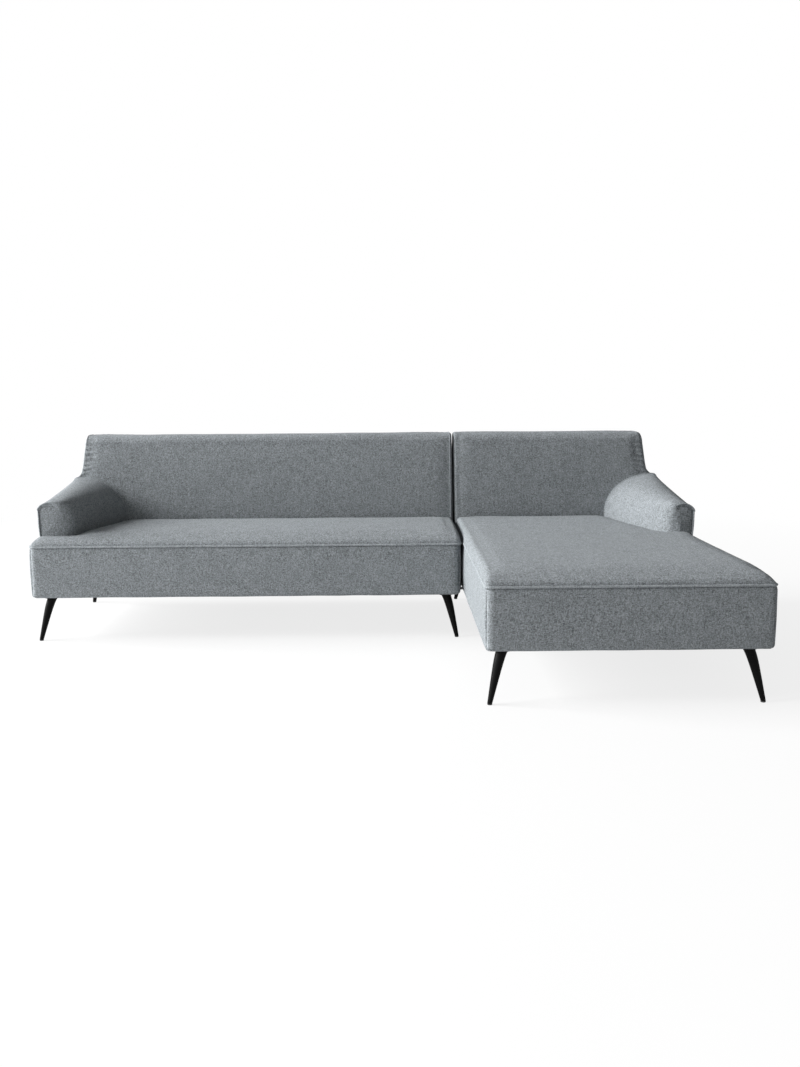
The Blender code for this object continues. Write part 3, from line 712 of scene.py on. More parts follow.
def closed_loft(
    rings: Sequence[float],
    sides: int,
    caps: int,
    place: Callable[[float, float, float], Point],
) -> Mesh:
    """Bends a grid into a closed form whose ends close in ring by ring.

    Args:
        rings: Where the rings lie along the form.
        sides: Faces round it.
        caps: Rings that close each end.
        place: Gives a point for a place along, a share round and how far the ring has closed in.

    Returns:
        The closed form, facing outwards.
    """
    rows = len(rings) - 1 + 2 * caps

    def spot(along: float, round_share: float) -> Point:
        """Finds a point of the grid, whose end rows lie in the caps.

        Args:
            along: Share of the way along the form, caps included.
            round_share: Share of the way round it.

        Returns:
            The point.
        """
        row = round(along * rows)
        ring = min(max(row - caps, 0), len(rings) - 1)
        past = max(caps - row, row - caps - len(rings) + 1, 0)
        return place(rings[ring], round_share, past / (caps + 0.4))

    bm = sheet_mesh(rows, sides, spot)
    bmesh.ops.remove_doubles(bm, verts=bm.verts, dist=1e-6)
    ends = [edge for edge in bm.edges if edge.is_boundary]
    bmesh.ops.holes_fill(bm, edges=ends, sides=0)
    bmesh.ops.recalc_face_normals(bm, faces=bm.faces)
    return bm


def make_piece(bm: Mesh, name: str, body: str, slot: str, wardrobe: Wardrobe) -> bpy.types.Object:
    """Turns a mesh into a piece that rides on a body.

    Args:
        bm: Finished mesh in the frame's own metres. It is freed.
        name: Name of the piece.
        body: Body that it rides on.
        slot: The record's material slot.
        wardrobe: Where its material comes from.

    Returns:
        The piece.
    """
    mesh = bpy.data.meshes.new(name)
    bm.to_mesh(mesh)
    bm.free()
    mesh.shade_smooth()
    mesh.materials.append(wardrobe.get(slot))
    piece = add_object(name, mesh)
    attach(piece, body)
    return piece


@dataclass(frozen=True)
class Stuffing:
    """How a cover is blown up over its filling by a cloth simulation."""

    mesh_size: float = 0.024
    pressure: float = 4.0
    frames: int = 14
    cap: float = 0.006

    def light_copy(self, piece: bpy.types.Object) -> bpy.types.Object:
        """Makes an evenly meshed, lighter copy of a closed cover to simulate.

        Args:
            piece: The cover.

        Returns:
            The copy, linked to the scene.
        """
        copy = add_object(piece.name + ".light", piece.data.copy())
        remesh = copy.modifiers.new("even", "REMESH")
        remesh.mode = "VOXEL"
        remesh.voxel_size = self.mesh_size
        evaluated = copy.evaluated_get(bpy.context.evaluated_depsgraph_get())
        even = bpy.data.meshes.new_from_object(evaluated)
        copy.modifiers.remove(remesh)
        heavy, copy.data = copy.data, even
        bpy.data.meshes.remove(heavy)
        return copy

    def swell(self, copy: bpy.types.Object, held: Callable[[Vector], float]) -> tuple[np.ndarray, np.ndarray]:
        """Runs the simulation on the light copy.

        Args:
            copy: Light copy of the cover.
            held: Gives 1 where a point is sewn fast and 0 where it is free.

        Returns:
            The copy's points at rest, and how far each one moved, kept under the cap.
        """
        mesh = copy.data
        rest = np.empty(len(mesh.vertices) * 3)
        mesh.vertices.foreach_get("co", rest)
        group = copy.vertex_groups.new(name="sewn")
        for vert in mesh.vertices:
            hold = limit(held(vert.co))
            if hold > 0.01:
                group.add([vert.index], hold, "REPLACE")
        cloth = copy.modifiers.new("cover", "CLOTH")
        settings = cloth.settings
        settings.quality = 3
        settings.use_pressure = True
        settings.uniform_pressure_force = self.pressure
        settings.vertex_group_mass = group.name
        settings.effector_weights.gravity = 0.0
        cloth.collision_settings.use_collision = False
        cloth.point_cache.frame_start = 1
        cloth.point_cache.frame_end = self.frames
        for number in range(1, self.frames + 1):
            bpy.context.scene.frame_set(number)
        blown = copy.evaluated_get(bpy.context.evaluated_depsgraph_get())
        moved = np.empty(len(mesh.vertices) * 3)
        blown.data.vertices.foreach_get("co", moved)
        bpy.context.scene.frame_set(1)
        step = (moved - rest).reshape(-1, 3)
        length = np.linalg.norm(step, axis=1, keepdims=True)
        direction = step / np.maximum(length, 1e-9)
        return rest.reshape(-1, 3), direction * self.cap * np.tanh(length / self.cap)

    def fill(self, piece: bpy.types.Object, held: Callable[[Vector], float]) -> None:
        """Simulates the cover and moves its mesh by the result.

        Args:
            piece: Closed cover, at rest.
            held: Gives 1 where a point is sewn fast and 0 where it is free.
        """
        copy = self.light_copy(piece)
        rest, steps = self.swell(copy, held)
        tree = KDTree(len(rest))
        for index, point in enumerate(rest):
            tree.insert(point, index)
        tree.balance()
        for vert in piece.data.vertices:
            near = tree.find_n(vert.co, 6)
            weights = np.array([1.0 / (distance + 0.25 * self.mesh_size) ** 2 for _, _, distance in near])
            step = weights @ steps[[index for _, index, _ in near]] / weights.sum()
            vert.co += Vector(step) * (1 - limit(held(vert.co)))
        even = copy.data
        bpy.data.objects.remove(copy)
        bpy.data.meshes.remove(even)


@dataclass(frozen=True)
class Piping:
    """Self-covered cord sewn into a seam."""

    radius: float = 0.0030
    spacing: float = 0.006
    waviness: float = 0.0004

    def sew(self, name: str, path: Iterable[Point], body: str, wardrobe: Wardrobe) -> bpy.types.Object:
        """Lays the cord along a path, makes it a mesh and marks it for the painted highlight.

        Args:
            name: Name of the piece.
            path: Points of the cord's centre line.
            body: Body that it rides on.
            wardrobe: Where its fabric comes from.

        Returns:
            The piece.
        """
        line = np.array(list(path), float)
        run = run_along(line)
        count = max(int(run[-1] / self.spacing), 2)
        at = np.linspace(0.0, run[-1], count + 1)
        points = np.stack([np.interp(at, run, line[:, i]) for i in range(3)], axis=1)
        curve = bpy.data.curves.new(name, "CURVE")
        curve.dimensions = "3D"
        curve.bevel_depth = self.radius
        curve.bevel_resolution = 3
        curve.use_fill_caps = True
        spline = curve.splines.new("POLY")
        spline.points.add(len(points) - 1)
        for index, (x, y, z) in enumerate(points):
            wave = self.waviness * ripple(x, y, z, 0.045)
            spline.points[index].co = (x, y + wave, z + wave, 1.0)
            spline.points[index].radius = 1 + 0.10 * ripple(x, y, z + 3.0, 0.015)
        holder = add_object(name + ".line", curve)
        solid = holder.evaluated_get(bpy.context.evaluated_depsgraph_get()).to_mesh()
        bm = bmesh.new()
        bm.from_mesh(solid)
        holder.to_mesh_clear()
        bpy.data.objects.remove(holder)
        bpy.data.curves.remove(curve)
        piece = make_piece(bm, name, body, "fabric", wardrobe)
        # Marks the whole cord for the painted highlight that lightens its colour in the fabric.
        cord_highlight_paint = piece.data.attributes.new("cord_highlight_paint", "FLOAT", "POINT")
        cord_highlight_paint.data.foreach_set("value", np.ones(len(piece.data.vertices)))
        return piece


# The two units


@dataclass(frozen=True)
class Unit:
    """One unit of the sofa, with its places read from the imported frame."""

    name: str
    arm_side: Side
    corner_radius: float
    flare: float = 0.0
    arm_shift: float = 0.0

    @property
    def body(self) -> str:
        """Returns the name of the body that the unit's pieces ride on."""
        return f"{self.name}_unit"

    def node(self, part: str) -> str:
        """Returns the name of one of the unit's nodes."""
        return f"{self.name}_{part}"

    def box(self, part: str) -> tuple[Vector, Vector]:
        """Returns the lowest and highest corner of one of the unit's nodes."""
        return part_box(self.node(part))

    @cached_property
    def planes(self) -> dict[Side, float]:
        """Returns the X of the unit's two side planes, which the arm and the back keep to."""
        low, high = self.box("seat_pad")
        return {Side.LEFT: low.x, Side.RIGHT: high.x}

    @cached_property
    def left(self) -> float:
        """Returns the X of the seat's and the base's left side, full on the arm's side."""
        return self.planes[Side.LEFT] - (self.flare if self.arm_side is Side.LEFT else 0.0)

    @cached_property
    def right(self) -> float:
        """Returns the X of the seat's and the base's right side, full on the arm's side."""
        return self.planes[Side.RIGHT] + (self.flare if self.arm_side is Side.RIGHT else 0.0)

    @cached_property
    def front(self) -> float:
        """Returns the unit's front plane."""
        return self.box("seat_pad")[0].y

    @cached_property
    def rear(self) -> float:
        """Returns the unit's rear plane."""
        return self.box("outside_back")[1].y

    @cached_property
    def back_line(self) -> float:
        """Returns the Y at which the seat meets the back."""
        return self.box("seat_pad")[1].y

    @cached_property
    def seat_foot(self) -> float:
        """Returns the level at which the seat's cover meets the base."""
        return self.box("seat_pad")[0].z

    @cached_property
    def underside(self) -> float:
        """Returns the level of the base's underside."""
        return self.box("front_border")[0].z

    @property
    def width(self) -> float:
        """Returns the unit's width."""
        return self.right - self.left

    @cached_property
    def arm_front(self) -> float:
        """Returns the Y of the arm's front face."""
        return self.box("arm_pad")[0].y

    def near_joint(self, x: float) -> float:
        """Returns 1 on the side that faces the other unit, easing to 0 a little way inwards."""
        plane = self.planes[Side(-self.arm_side.value)]
        return ease(1 - abs(x - plane) / 0.03)

    def x_inward(self, inward: float) -> float:
        """Returns the X that lies a distance inwards from the arm's outer plane."""
        return self.planes[self.arm_side] - self.arm_side.value * (inward + self.arm_shift)

    def inward(self, x: float) -> float:
        """Returns the distance inwards from the arm's outer plane."""
        return (self.planes[self.arm_side] - x) * self.arm_side.value - self.arm_shift

    def outline(self, offset: float, rear: float) -> list[Point]:
        """Follows the plan of the base from the rear left, round the front, to the rear right.

        Args:
            offset: How far the line lies outside the unit's planes.
            rear: Y at which the line starts and ends.

        Returns:
            Points at level 0, close together round the two front corners.
        """
        radius = self.corner_radius + offset
        points: list[Point] = [(self.left - offset, rear, 0.0)]
        for x, start in ((self.left + self.corner_radius, 180.0), (self.right - self.corner_radius, 270.0)):
            center = (x, self.front + self.corner_radius)
            points += [(*spot, 0.0) for spot in arc(center, (radius, radius), start, 90.0, CORNER_STEPS)]
        points.append((self.right + offset, rear, 0.0))
        return points


@dataclass(frozen=True)
class ArmShape:
    """The arm's sculpted form, which the seat and the arm's own cover share."""

    rear_ridge: float = 0.659
    ridge_slope: float = 0.132
    back_thickness: float = 0.250
    taper: float = 0.233
    back_depth: float = 0.232
    spring_height: float = 0.440
    ridge_radius: float = 0.018
    front_power: float = 3.0
    back_power: float = 2.05
    set_back: float = 0.002
    roll_width: float = 0.075
    crest: float = 0.014
    drop: float = 0.009
    heel: float = 0.010
    heel_height: float = 0.110

    def outer_face(self, level: float, foot: float, along: float) -> float:
        """Returns the outer face's distance inwards of the unit's plane, more at the foot near the front."""
        lean = limit(1 - (level - foot) / self.heel_height)
        return self.set_back + self.heel * lean * lean * ease((along - 0.75) / 0.25)

    def thickness(self, distance: float) -> float:
        """Returns the arm's thickness at its foot, at a distance from the unit's rear."""
        return self.back_thickness - self.taper * (distance - self.back_depth)

    def ridge(self, distance: float) -> float:
        """Returns the level of the arm's ridge at a distance from the unit's rear."""
        return self.rear_ridge - self.ridge_slope * distance

    @lru_cache(maxsize=None)
    def section(self, distance: float, length: float, foot: float, spacing: float) -> list[Pair]:
        """Draws the arm's section from its outer foot over the ridge to its inner foot.

        Args:
            distance: Distance of the section from the unit's rear.
            length: Distance of the arm's front face from the unit's rear.
            foot: Level of the arm's foot.
            spacing: Distance between points.

        Returns:
            Points as (distance inwards, level).
        """
        ridge = self.ridge(distance)
        along = limit((distance - self.back_depth) / (length - self.back_depth))
        power = blend(self.back_power, self.front_power, along)
        roll = blend(self.ridge_radius, self.roll_width, along)
        drop = self.drop * along * along
        rise = self.ridge_radius + self.crest * along * along + drop
        center = (self.set_back + roll, ridge - self.ridge_radius - drop)
        points = [(self.outer_face(level, foot, along), level) for level in np.linspace(foot, center[1], 8)]
        points += arc(center, (roll, rise), 180, -90, 8)[1:]
        width = self.thickness(distance) - center[0]
        height = center[1] + rise - self.spring_height
        for step in range(1, 41):
            angle = math.pi / 2 * step / 40
            across = math.sin(angle) ** (2 / power)
            up = max(math.cos(angle), 0.0) ** (2 / power)
            points.append((center[0] + width * across, self.spring_height + height * up))
        points.append((self.thickness(distance), foot))
        return resample(points, spacing)


@dataclass(frozen=True)
class BackShape:
    """The tight back's section, which its cover, the arm and the welts share."""

    depth: float = 0.232
    top_depth: float = 0.130
    swell: float = 0.008
    front_radius: float = 0.045
    rear_radius: float = 0.030
    end_radius: float = 0.025
    join_radius: float = 0.012
    lip_drop: float = 0.053
    outer_inset: float = 0.004
    outer_taper: float = 0.018
    shoulder: float = 0.028
    shoulder_height: float = 0.014
    join_inset: float = 0.0008
    height: float = 0.828

    def front(self, level: float, foot: float) -> float:
        """Returns how far the front face lies before the rear plane at a level."""
        share = limit((level - foot) / (self.height - foot))
        return blend(self.depth, self.top_depth, share) + self.swell * math.sin(math.pi * share)

    def section(self, foot: float, spacing: float) -> list[Pair]:
        """Draws the section from the front foot over the top to the rear lip.

        Args:
            foot: Level of the front foot.
            spacing: Distance between points.

        Returns:
            Points as (distance before the rear plane, level).
        """
        shoulder = self.height - self.front_radius
        levels = [blend(foot, shoulder, step / 24) for step in range(25)]
        points = [(self.front(level, foot), level) for level in levels]
        edge = self.front(shoulder, foot) - self.front_radius
        points += arc((edge, shoulder), (self.front_radius, self.front_radius), 0, 90, 10)[1:]
        rear_center = (self.rear_radius, self.height - self.rear_radius)
        points += arc(rear_center, (self.rear_radius, self.rear_radius), 90, 90, 10)
        points.append((0.0, self.height - self.lip_drop))
        return resample(points, spacing)

    def end_inset(self, unit: Unit, side: Side, level: float, arm: ArmShape) -> float:
        """Returns how far the back's end lies inside the unit's plane on one side at a level.

        Args:
            unit: The unit.
            side: The side.
            level: The level.
            arm: Shape of the unit's arm.

        Returns:
            The distance inwards, the join's inset on the side without an arm.
        """
        if side is not unit.arm_side:
            return self.join_inset
        arm_top = arm.ridge(self.depth)
        share = limit((level - arm_top) / (self.height - arm_top))
        above = max(level - arm_top, 0.0)
        shoulder = self.shoulder * (1 - math.exp(-above / self.shoulder_height))
        return self.outer_inset + shoulder + self.outer_taper * share


ARM = ArmShape()
BACK = BackShape()


@dataclass(frozen=True)
class SeatCushion:
    """The tight seat with its crown, and the piping round its open edges."""

    unit: Unit
    wardrobe: Wardrobe
    crown: float = 0.047
    side_round: float = 0.048
    joint_round: float = 0.024
    front_round: float = 0.250
    lip_round: float = 0.06
    lip_share: float = 0.3
    piping_rise: float = 0.0095
    piping_radius: float = 0.0042
    joint_clearance: float = 0.0026
    cord_end: float = 0.012
    cord_tuck: float = 0.003
    cord_taper: float = 0.15
    skirt_inset: float = 0.003
    hold_reach: float = 0.030
    tuck_depth: float = 0.012
    tuck_reach: float = 0.025
    spacing: float = 0.0085

    @property
    def edge(self) -> float:
        """Returns the level at which the crown starts, along the piping."""
        return self.unit.seat_foot + self.piping_rise

    def height(self, x: float, y: float) -> float:
        """Returns the level of the crown at a point of the plan.

        Args:
            x: X of the point.
            y: Y of the point.

        Returns:
            The level, never under the cushion's edge.
        """
        unit = self.unit
        side = min(x - unit.left, unit.right - x)
        ahead = y - unit.front
        rounds = (self.side_round, self.joint_round)[:: -unit.arm_side.value]
        rolls = (quarter_round(ahead / self.front_round), quarter_round(ahead / self.lip_round))
        rise = self.crown * blend(*rolls, self.lip_share)
        rise *= quarter_round((x - unit.left) / rounds[0]) * quarter_round((unit.right - x) / rounds[1])
        to_back = unit.back_line - y
        to_arm = unit.inward(x) - ARM.thickness(unit.rear - y)
        nearest = to_back if y < unit.arm_front else min(to_back, max(to_arm, 0.0))
        tuck = self.tuck_depth * math.exp(-max(nearest, 0.0) / self.tuck_reach)
        settle = limit(side / 0.05) * limit(ahead / 0.05)
        return self.edge + max(rise - tuck + SEAT_WAVES.at(x, y, 5.0) * settle, 0.0)

    def round_corner(self, side: float, ahead: float) -> Pair:
        """Returns a point near a front corner moved so that the corner becomes an arc.

        Args:
            side: Distance from the nearer side.
            ahead: Distance from the front.

        Returns:
            The moved distances from the side and the front.
        """
        radius = self.unit.corner_radius
        across, along = radius - side, radius - ahead
        if across <= 0 or along <= 0:
            return side, ahead
        shrink = max(across, along) / math.hypot(across, along)
        return radius - across * shrink, radius - along * shrink

    def place(self, across: float, along: float) -> Point:
        """Returns the crown's point for a share across the unit and a share from front to back.

        Args:
            across: Share of the way from left to right.
            along: Share of the way from front to back.

        Returns:
            The point.
        """
        unit = self.unit
        turn = across * 2 - 1
        spread = 0.45 * turn + 0.55 * math.sin(turn * math.pi / 2)
        from_left = unit.width * (spread + 1) / 2
        depth = unit.back_line - unit.front
        ahead = depth * blend(along, 1 - math.cos(along * math.pi / 2), 0.5)
        side = min(from_left, unit.width - from_left)
        moved_side, moved_ahead = self.round_corner(side, ahead)
        x = unit.left + moved_side if turn < 0 else unit.right - moved_side
        y = unit.front + moved_ahead
        on_edge = side < 1e-6 or ahead < 1e-6
        return x, y, self.edge if on_edge else self.height(x, y)

    def clear_arm(self, bm: Mesh) -> None:
        """Cuts the space of the arm out of the crown.

        Args:
            bm: The crown's mesh.
        """
        unit = self.unit
        front = unit.arm_front - 0.0003
        distances = (unit.rear - front, unit.rear - unit.back_line)
        ends = [Vector((unit.x_inward(ARM.thickness(d) + 0.0006), unit.rear - d, 0.0)) for d in distances]
        along = (ends[1] - ends[0]).normalized()
        across = Vector((-along.y, along.x, 0.0)) * unit.arm_side.value
        whole = bm.verts[:] + bm.edges[:] + bm.faces[:]
        bmesh.ops.bisect_plane(bm, geom=whole, plane_co=(0, front, 0), plane_no=(0, 1, 0))
        behind = [face for face in bm.faces if face.calc_center_median().y > front]
        parts = {item for face in behind for item in (face, *face.edges, *face.verts)}
        bmesh.ops.bisect_plane(bm, geom=list(parts), plane_co=ends[0], plane_no=across)
        gone = [
            face
            for face in bm.faces
            if face.calc_center_median().y > front and (face.calc_center_median() - ends[0]).dot(across) < 0
        ]
        bmesh.ops.delete(bm, geom=gone, context="FACES")

    def build(self) -> None:
        """Builds the cover with its skirt and underside, blows it up and sews on the piping."""
        unit = self.unit
        columns = int(unit.width / self.spacing)
        rows = int((unit.back_line - unit.front) / self.spacing)
        bm = sheet_mesh(columns, rows, self.place)
        self.clear_arm(bm)
        rim = [edge for edge in bm.edges if edge.is_boundary]
        skirt = bmesh.ops.extrude_edge_only(bm, edges=rim)["geom"]
        middle = Vector(((unit.left + unit.right) / 2, (unit.front + unit.back_line) / 2, 0.0))
        for vert in (item for item in skirt if isinstance(item, bmesh.types.BMVert)):
            inwards = (middle - vert.co).xy
            vert.co.x += math.copysign(self.skirt_inset, inwards.x)
            vert.co.y += math.copysign(self.skirt_inset, inwards.y)
            vert.co.z = unit.seat_foot
        foot = [edge for edge in bm.edges if edge.is_boundary]
        bmesh.ops.holes_fill(bm, edges=foot, sides=0)
        bmesh.ops.recalc_face_normals(bm, faces=bm.faces)
        piece = make_piece(bm, unit.node("seat_cushion"), unit.body, "fabric", self.wardrobe)
        Stuffing(cap=0.006).fill(piece, self.sewn)
        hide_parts(unit.node("seat_pad"))
        path = []
        for x, y, _ in unit.outline(0.0008, unit.rear - self.cord_end):
            joint = unit.near_joint(x)
            path.append((x + unit.arm_side.value * self.joint_clearance * joint, y, self.edge - 0.0006))
        for end in (0, -1):
            x, y, z = path[end]
            inset = unit.arm_side.value * (unit.flare + self.cord_tuck) * (1 - unit.near_joint(x))
            last = (x - inset, y, z)
            path[end] = (x, y - self.cord_taper, z)
            path.insert(0 if end == 0 else len(path), last)
        cord = Piping(radius=self.piping_radius)
        cord.sew(unit.node("seat_piping"), path, unit.body, self.wardrobe)
        LOG.info("%s seat cushion and piping", unit.name)

    def sewn(self, point: Vector) -> float:
        """Returns 1 at the cover's seams and foot, easing to 0 over its free surface.

        Args:
            point: Point of the cover.

        Returns:
            How fast the point is held, from 0 to 1.
        """
        unit = self.unit
        side = min(point.x - unit.left, unit.right - point.x)
        ahead = point.y - unit.front
        to_arm = unit.inward(point.x) - ARM.thickness(unit.rear - point.y)
        nearest = min(side, ahead, unit.back_line - point.y)
        if point.y > unit.arm_front - 0.02:
            nearest = min(nearest, max(to_arm, 0.0))
        if point.z < self.edge - 0.001:
            return 1.0
        return 1 - ease(nearest / self.hold_reach)


@dataclass(frozen=True)
class BasePanels:
    """The padded panels round the base, with seams down the front corners."""

    unit: Unit
    wardrobe: Wardrobe
    thickness: float = 0.006
    face: float = 0.0026
    bottom_radius: float = 0.012
    tuck: float = 0.020
    bulge: float = 0.0045
    pinch: float = 0.0014
    top_pinch: float = 0.0034
    top_pinch_reach: float = 0.007
    end_reach: float = 0.06
    rear_taper_start: float = 0.17
    rear_taper_run: float = 0.15
    joint_inset: float = 0.0060
    ledge: float = 0.032
    spacing: float = 0.0075
    seam_reach: float = 0.005

    @property
    def top(self) -> float:
        """Returns the level of the panels' top edge, just under the piping."""
        return self.unit.seat_foot + 0.0065

    def profile(self, ledge: float) -> list[Pair]:
        """Draws a panel's section from its top edge down and under.

        Args:
            ledge: How far the cloth reaches in over the top, under the arm.

        Returns:
            Points as (distance outside the unit's plane, level).
        """
        low = self.unit.underside
        points = [(self.face - ledge, self.top)] if ledge else []
        points += [(self.face, self.top), (self.face, low + self.bottom_radius)]
        center = (self.face - self.bottom_radius, low + self.bottom_radius)
        points += arc(center, (self.bottom_radius, self.bottom_radius), 0, -90, 8)[1:]
        points.append((self.face - self.bottom_radius - self.tuck, low))
        return resample(points, self.spacing)

    def room(self, x: float, y: float) -> float:
        """Returns how far a panel may reach inwards from a point of the outline without folding over.

        Args:
            x: X of the point.
            y: Y of the point.

        Returns:
            The distance inwards.
        """
        unit = self.unit
        radius = unit.corner_radius
        beyond = max(y - unit.front - radius, min(x - unit.left, unit.right - x) - radius, 0.0)
        return radius - 0.003 + beyond

    def panel(self, name: str, path: list[Pair], replaced: str, ledge: float) -> None:
        """Builds one panel along its stretch of the outline.

        Args:
            name: Name of the piece.
            path: Points of the outline in plan, in order, with the outside on the right.
            replaced: Node that the panel stands for.
            ledge: How far its cloth reaches in over the top.
        """
        unit = self.unit
        line = resample(path, self.spacing)
        rows = self.profile(ledge)
        last = len(line) - 1
        turns = [rightwards(line[max(i - 1, 0)], line[min(i + 1, last)]) for i in range(len(line))]

        def place(along: float, down: float) -> Point:
            """Finds a point of the panel's outer face.

            Args:
                along: Share of the way along the outline.
                down: Share of the way down the profile.

            Returns:
                The point.
            """
            column = round(along * last)
            row = round(down * (len(rows) - 1))
            out, level = rows[row]
            x, y = line[column]
            from_end = min(column, last - column) * self.spacing
            fall = (self.top - level) / (self.top - unit.underside)
            belly = self.bulge * math.sin(math.pi * limit(fall)) ** 0.8
            seam = self.pinch * math.exp(-((from_end / self.seam_reach) ** 2))
            seam += self.top_pinch * math.exp(-(((self.top - level) / self.top_pinch_reach) ** 2))
            out += belly * quarter_round(from_end / self.end_reach) - seam + PANEL_WAVES.at(x, y, level)
            flare = unit.flare * (1 - unit.near_joint(x)) if ledge else 0.0
            to_rear = ease((y - unit.rear + self.rear_taper_start) / self.rear_taper_run)
            out -= (self.face + flare) * to_rear
            out = max(out - self.joint_inset * unit.near_joint(x), -self.room(x, y))
            drop = 0.0014 * ripple(x, y, 2.0, 0.11) * ease(fall * 1.6 - 0.6)
            return x + turns[column].x * out, y + turns[column].y * out, level + drop

        bm = sheet_mesh(last, len(rows) - 1, place)
        middle = Vector((unit.left + unit.width / 2, unit.back_line, 0.3))
        thicken(bm, self.thickness, lambda face: face.normal.dot(face.calc_center_median() - middle))
        piece = make_piece(bm, name, unit.body, "fabric", self.wardrobe)
        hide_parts(replaced)

    def build(self) -> None:
        """Builds the left, front and right panels."""
        unit = self.unit
        ring = [(x, y) for x, y, _ in unit.outline(0.0, unit.rear - 0.009)]
        left_corner = 1 + CORNER_STEPS // 2
        right_corner = left_corner + CORNER_STEPS + 1
        stretches = {
            "left": ring[: left_corner + 1],
            "front": ring[left_corner : right_corner + 1],
            "right": ring[right_corner:],
        }
        for side, path in stretches.items():
            ledge = self.ledge if side == unit.arm_side.name.lower() else 0.0
            self.panel(unit.node(f"{side}_base_panel"), path, unit.node(f"{side}_border"), ledge)
        LOG.info("%s base panels", unit.name)


@dataclass(frozen=True)
class TightBack:
    """The tight back's cover, its end welts and the outside back."""

    unit: Unit
    wardrobe: Wardrobe
    spacing: float = 0.0056
    end_dome: float = 0.0042
    welt_inset: float = 0.010
    gather_height: float = 0.0052
    gather_length: float = 0.023
    gather_reach: float = 0.045
    gather_band: Pair = (0.63, 0.81)
    hold_reach: float = 0.035
    panel_spacing: float = 0.012
    panel_thickness: float = 0.0045
    welted: bool = True

    def ends(self, level: float) -> Pair:
        """Returns the X of the back's two ends at a level."""
        unit = self.unit
        return (
            unit.planes[Side.LEFT] + BACK.end_inset(unit, Side.LEFT, level, ARM),
            unit.planes[Side.RIGHT] - BACK.end_inset(unit, Side.RIGHT, level, ARM),
        )

    def ring(self) -> list[Pair]:
        """Draws the cover's closed section: the visible skin, then straight lines back to its foot."""
        unit = self.unit
        skin = BACK.section(unit.seat_foot, self.spacing)
        panel = unit.rear - unit.box("outside_back")[0].y + 0.0003
        hidden = [skin[-1], (panel, skin[-1][1]), (panel, unit.seat_foot), skin[0]]
        return skin + resample(hidden, self.spacing * 2)[1:]

    def end_radius(self, side: Side) -> float:
        """Returns the rounding of the back's edges at one end."""
        return BACK.end_radius if side is self.unit.arm_side else BACK.join_radius

    def gathers(self, from_end: float, level: float, x: float) -> float:
        """Returns how far small pleats beside an end seam push the cover out at a point.

        Args:
            from_end: Distance from the back's end.
            level: Level of the point.
            x: X of the point.

        Returns:
            The distance outwards, less than 0 in a fold.
        """
        low, high = self.gather_band
        reach = math.exp(-((from_end / self.gather_reach) ** 2)) * ease(from_end / 0.005)
        band = ease((level - low) / 0.03) * ease((high - level) / 0.04)
        turn = 2 * math.pi * (level - 0.12 * from_end) / self.gather_length
        wave = math.sin(turn + 2.0 * ripple(x, 0.0, level, 0.07))
        return self.gather_height * reach * band * wave * (0.85 + 0.4 * ripple(x, 4.0, level, 0.05))

    def build(self) -> None:
        """Builds the cover, blows it up, and adds the welts and the outside back."""
        unit = self.unit
        ring = self.ring()
        skin_count = len(BACK.section(unit.seat_foot, self.spacing))
        radii = {side: self.end_radius(side) for side in Side}
        normals = [rightwards(ring[i - 1], ring[(i + 1) % len(ring)]) for i in range(len(ring))]
        nominal = unit.planes[Side.RIGHT] - unit.planes[Side.LEFT] - 2 * BACK.join_inset

        def place(along: float, round_share: float, closed: float) -> Point:
            """Finds a point of the back's cover.

            Args:
                along: Distance from the left end at the join's inset.
                round_share: Share of the way round the section.
                closed: How far an end ring has closed in, from 0 to 1.

            Returns:
                The point.
            """
            index = round(round_share * (len(ring) - 1)) % (len(ring) - 1)
            before_rear, level = ring[index]
            left, right = self.ends(level)
            x = left + along + (right - left - nominal) * along / nominal
            from_end = min(x - left, right - x)
            radius = radii[Side.LEFT if x - left < right - x else Side.RIGHT]
            if index < skin_count:
                shown = limit((level - unit.seat_foot) / 0.02)
                wave = BACK_WAVES.at(x, level, 3.0)
                out = wave * shown * limit(from_end / 0.05) - edge_pull(radius, from_end) * shown
                if (unit.arm_side is Side.LEFT) == (x - left < right - x):
                    out += self.gathers(from_end, level, x)
                before_rear += normals[index].x * out
                level += normals[index].y * out
            if closed:
                before_rear = blend(before_rear, blend(BACK.depth, BACK.top_depth, 0.5) / 2, closed)
                level = blend(level, (unit.seat_foot + BACK.height) / 2, closed)
                left, right = self.ends(level)
                dome = self.end_dome * (1 - (1 - closed) ** 2)
                x = left - dome if along < nominal / 2 else right + dome
            return x, unit.rear - before_rear, level

        rings = stations(nominal, radii[Side.LEFT], radii[Side.RIGHT], self.spacing)
        bm = closed_loft(rings, len(ring) - 1, 7, place)
        piece = make_piece(bm, unit.node("back_cover"), unit.body, "fabric", self.wardrobe)
        Stuffing(cap=0.005).fill(piece, self.sewn)
        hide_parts(unit.node("back_pad"))
        self.outside()
        if self.welted:
            self.welts()
        LOG.info("%s back", unit.name)

    def sewn(self, point: Vector) -> float:
        """Returns 1 at the cover's seams, foot and hidden rear, easing to 0 over its free surface.

        Args:
            point: Point of the cover.

        Returns:
            How fast the point is held, from 0 to 1.
        """
        unit = self.unit
        left, right = self.ends(point.z)
        from_end = min(point.x - left, right - point.x)
        from_foot = point.z - unit.seat_foot
        behind = unit.rear - point.y
        if behind < 0.012 and point.z < BACK.height - BACK.lip_drop + 0.01:
            return 1.0
        return 1 - ease(min(from_end, from_foot) / self.hold_reach)

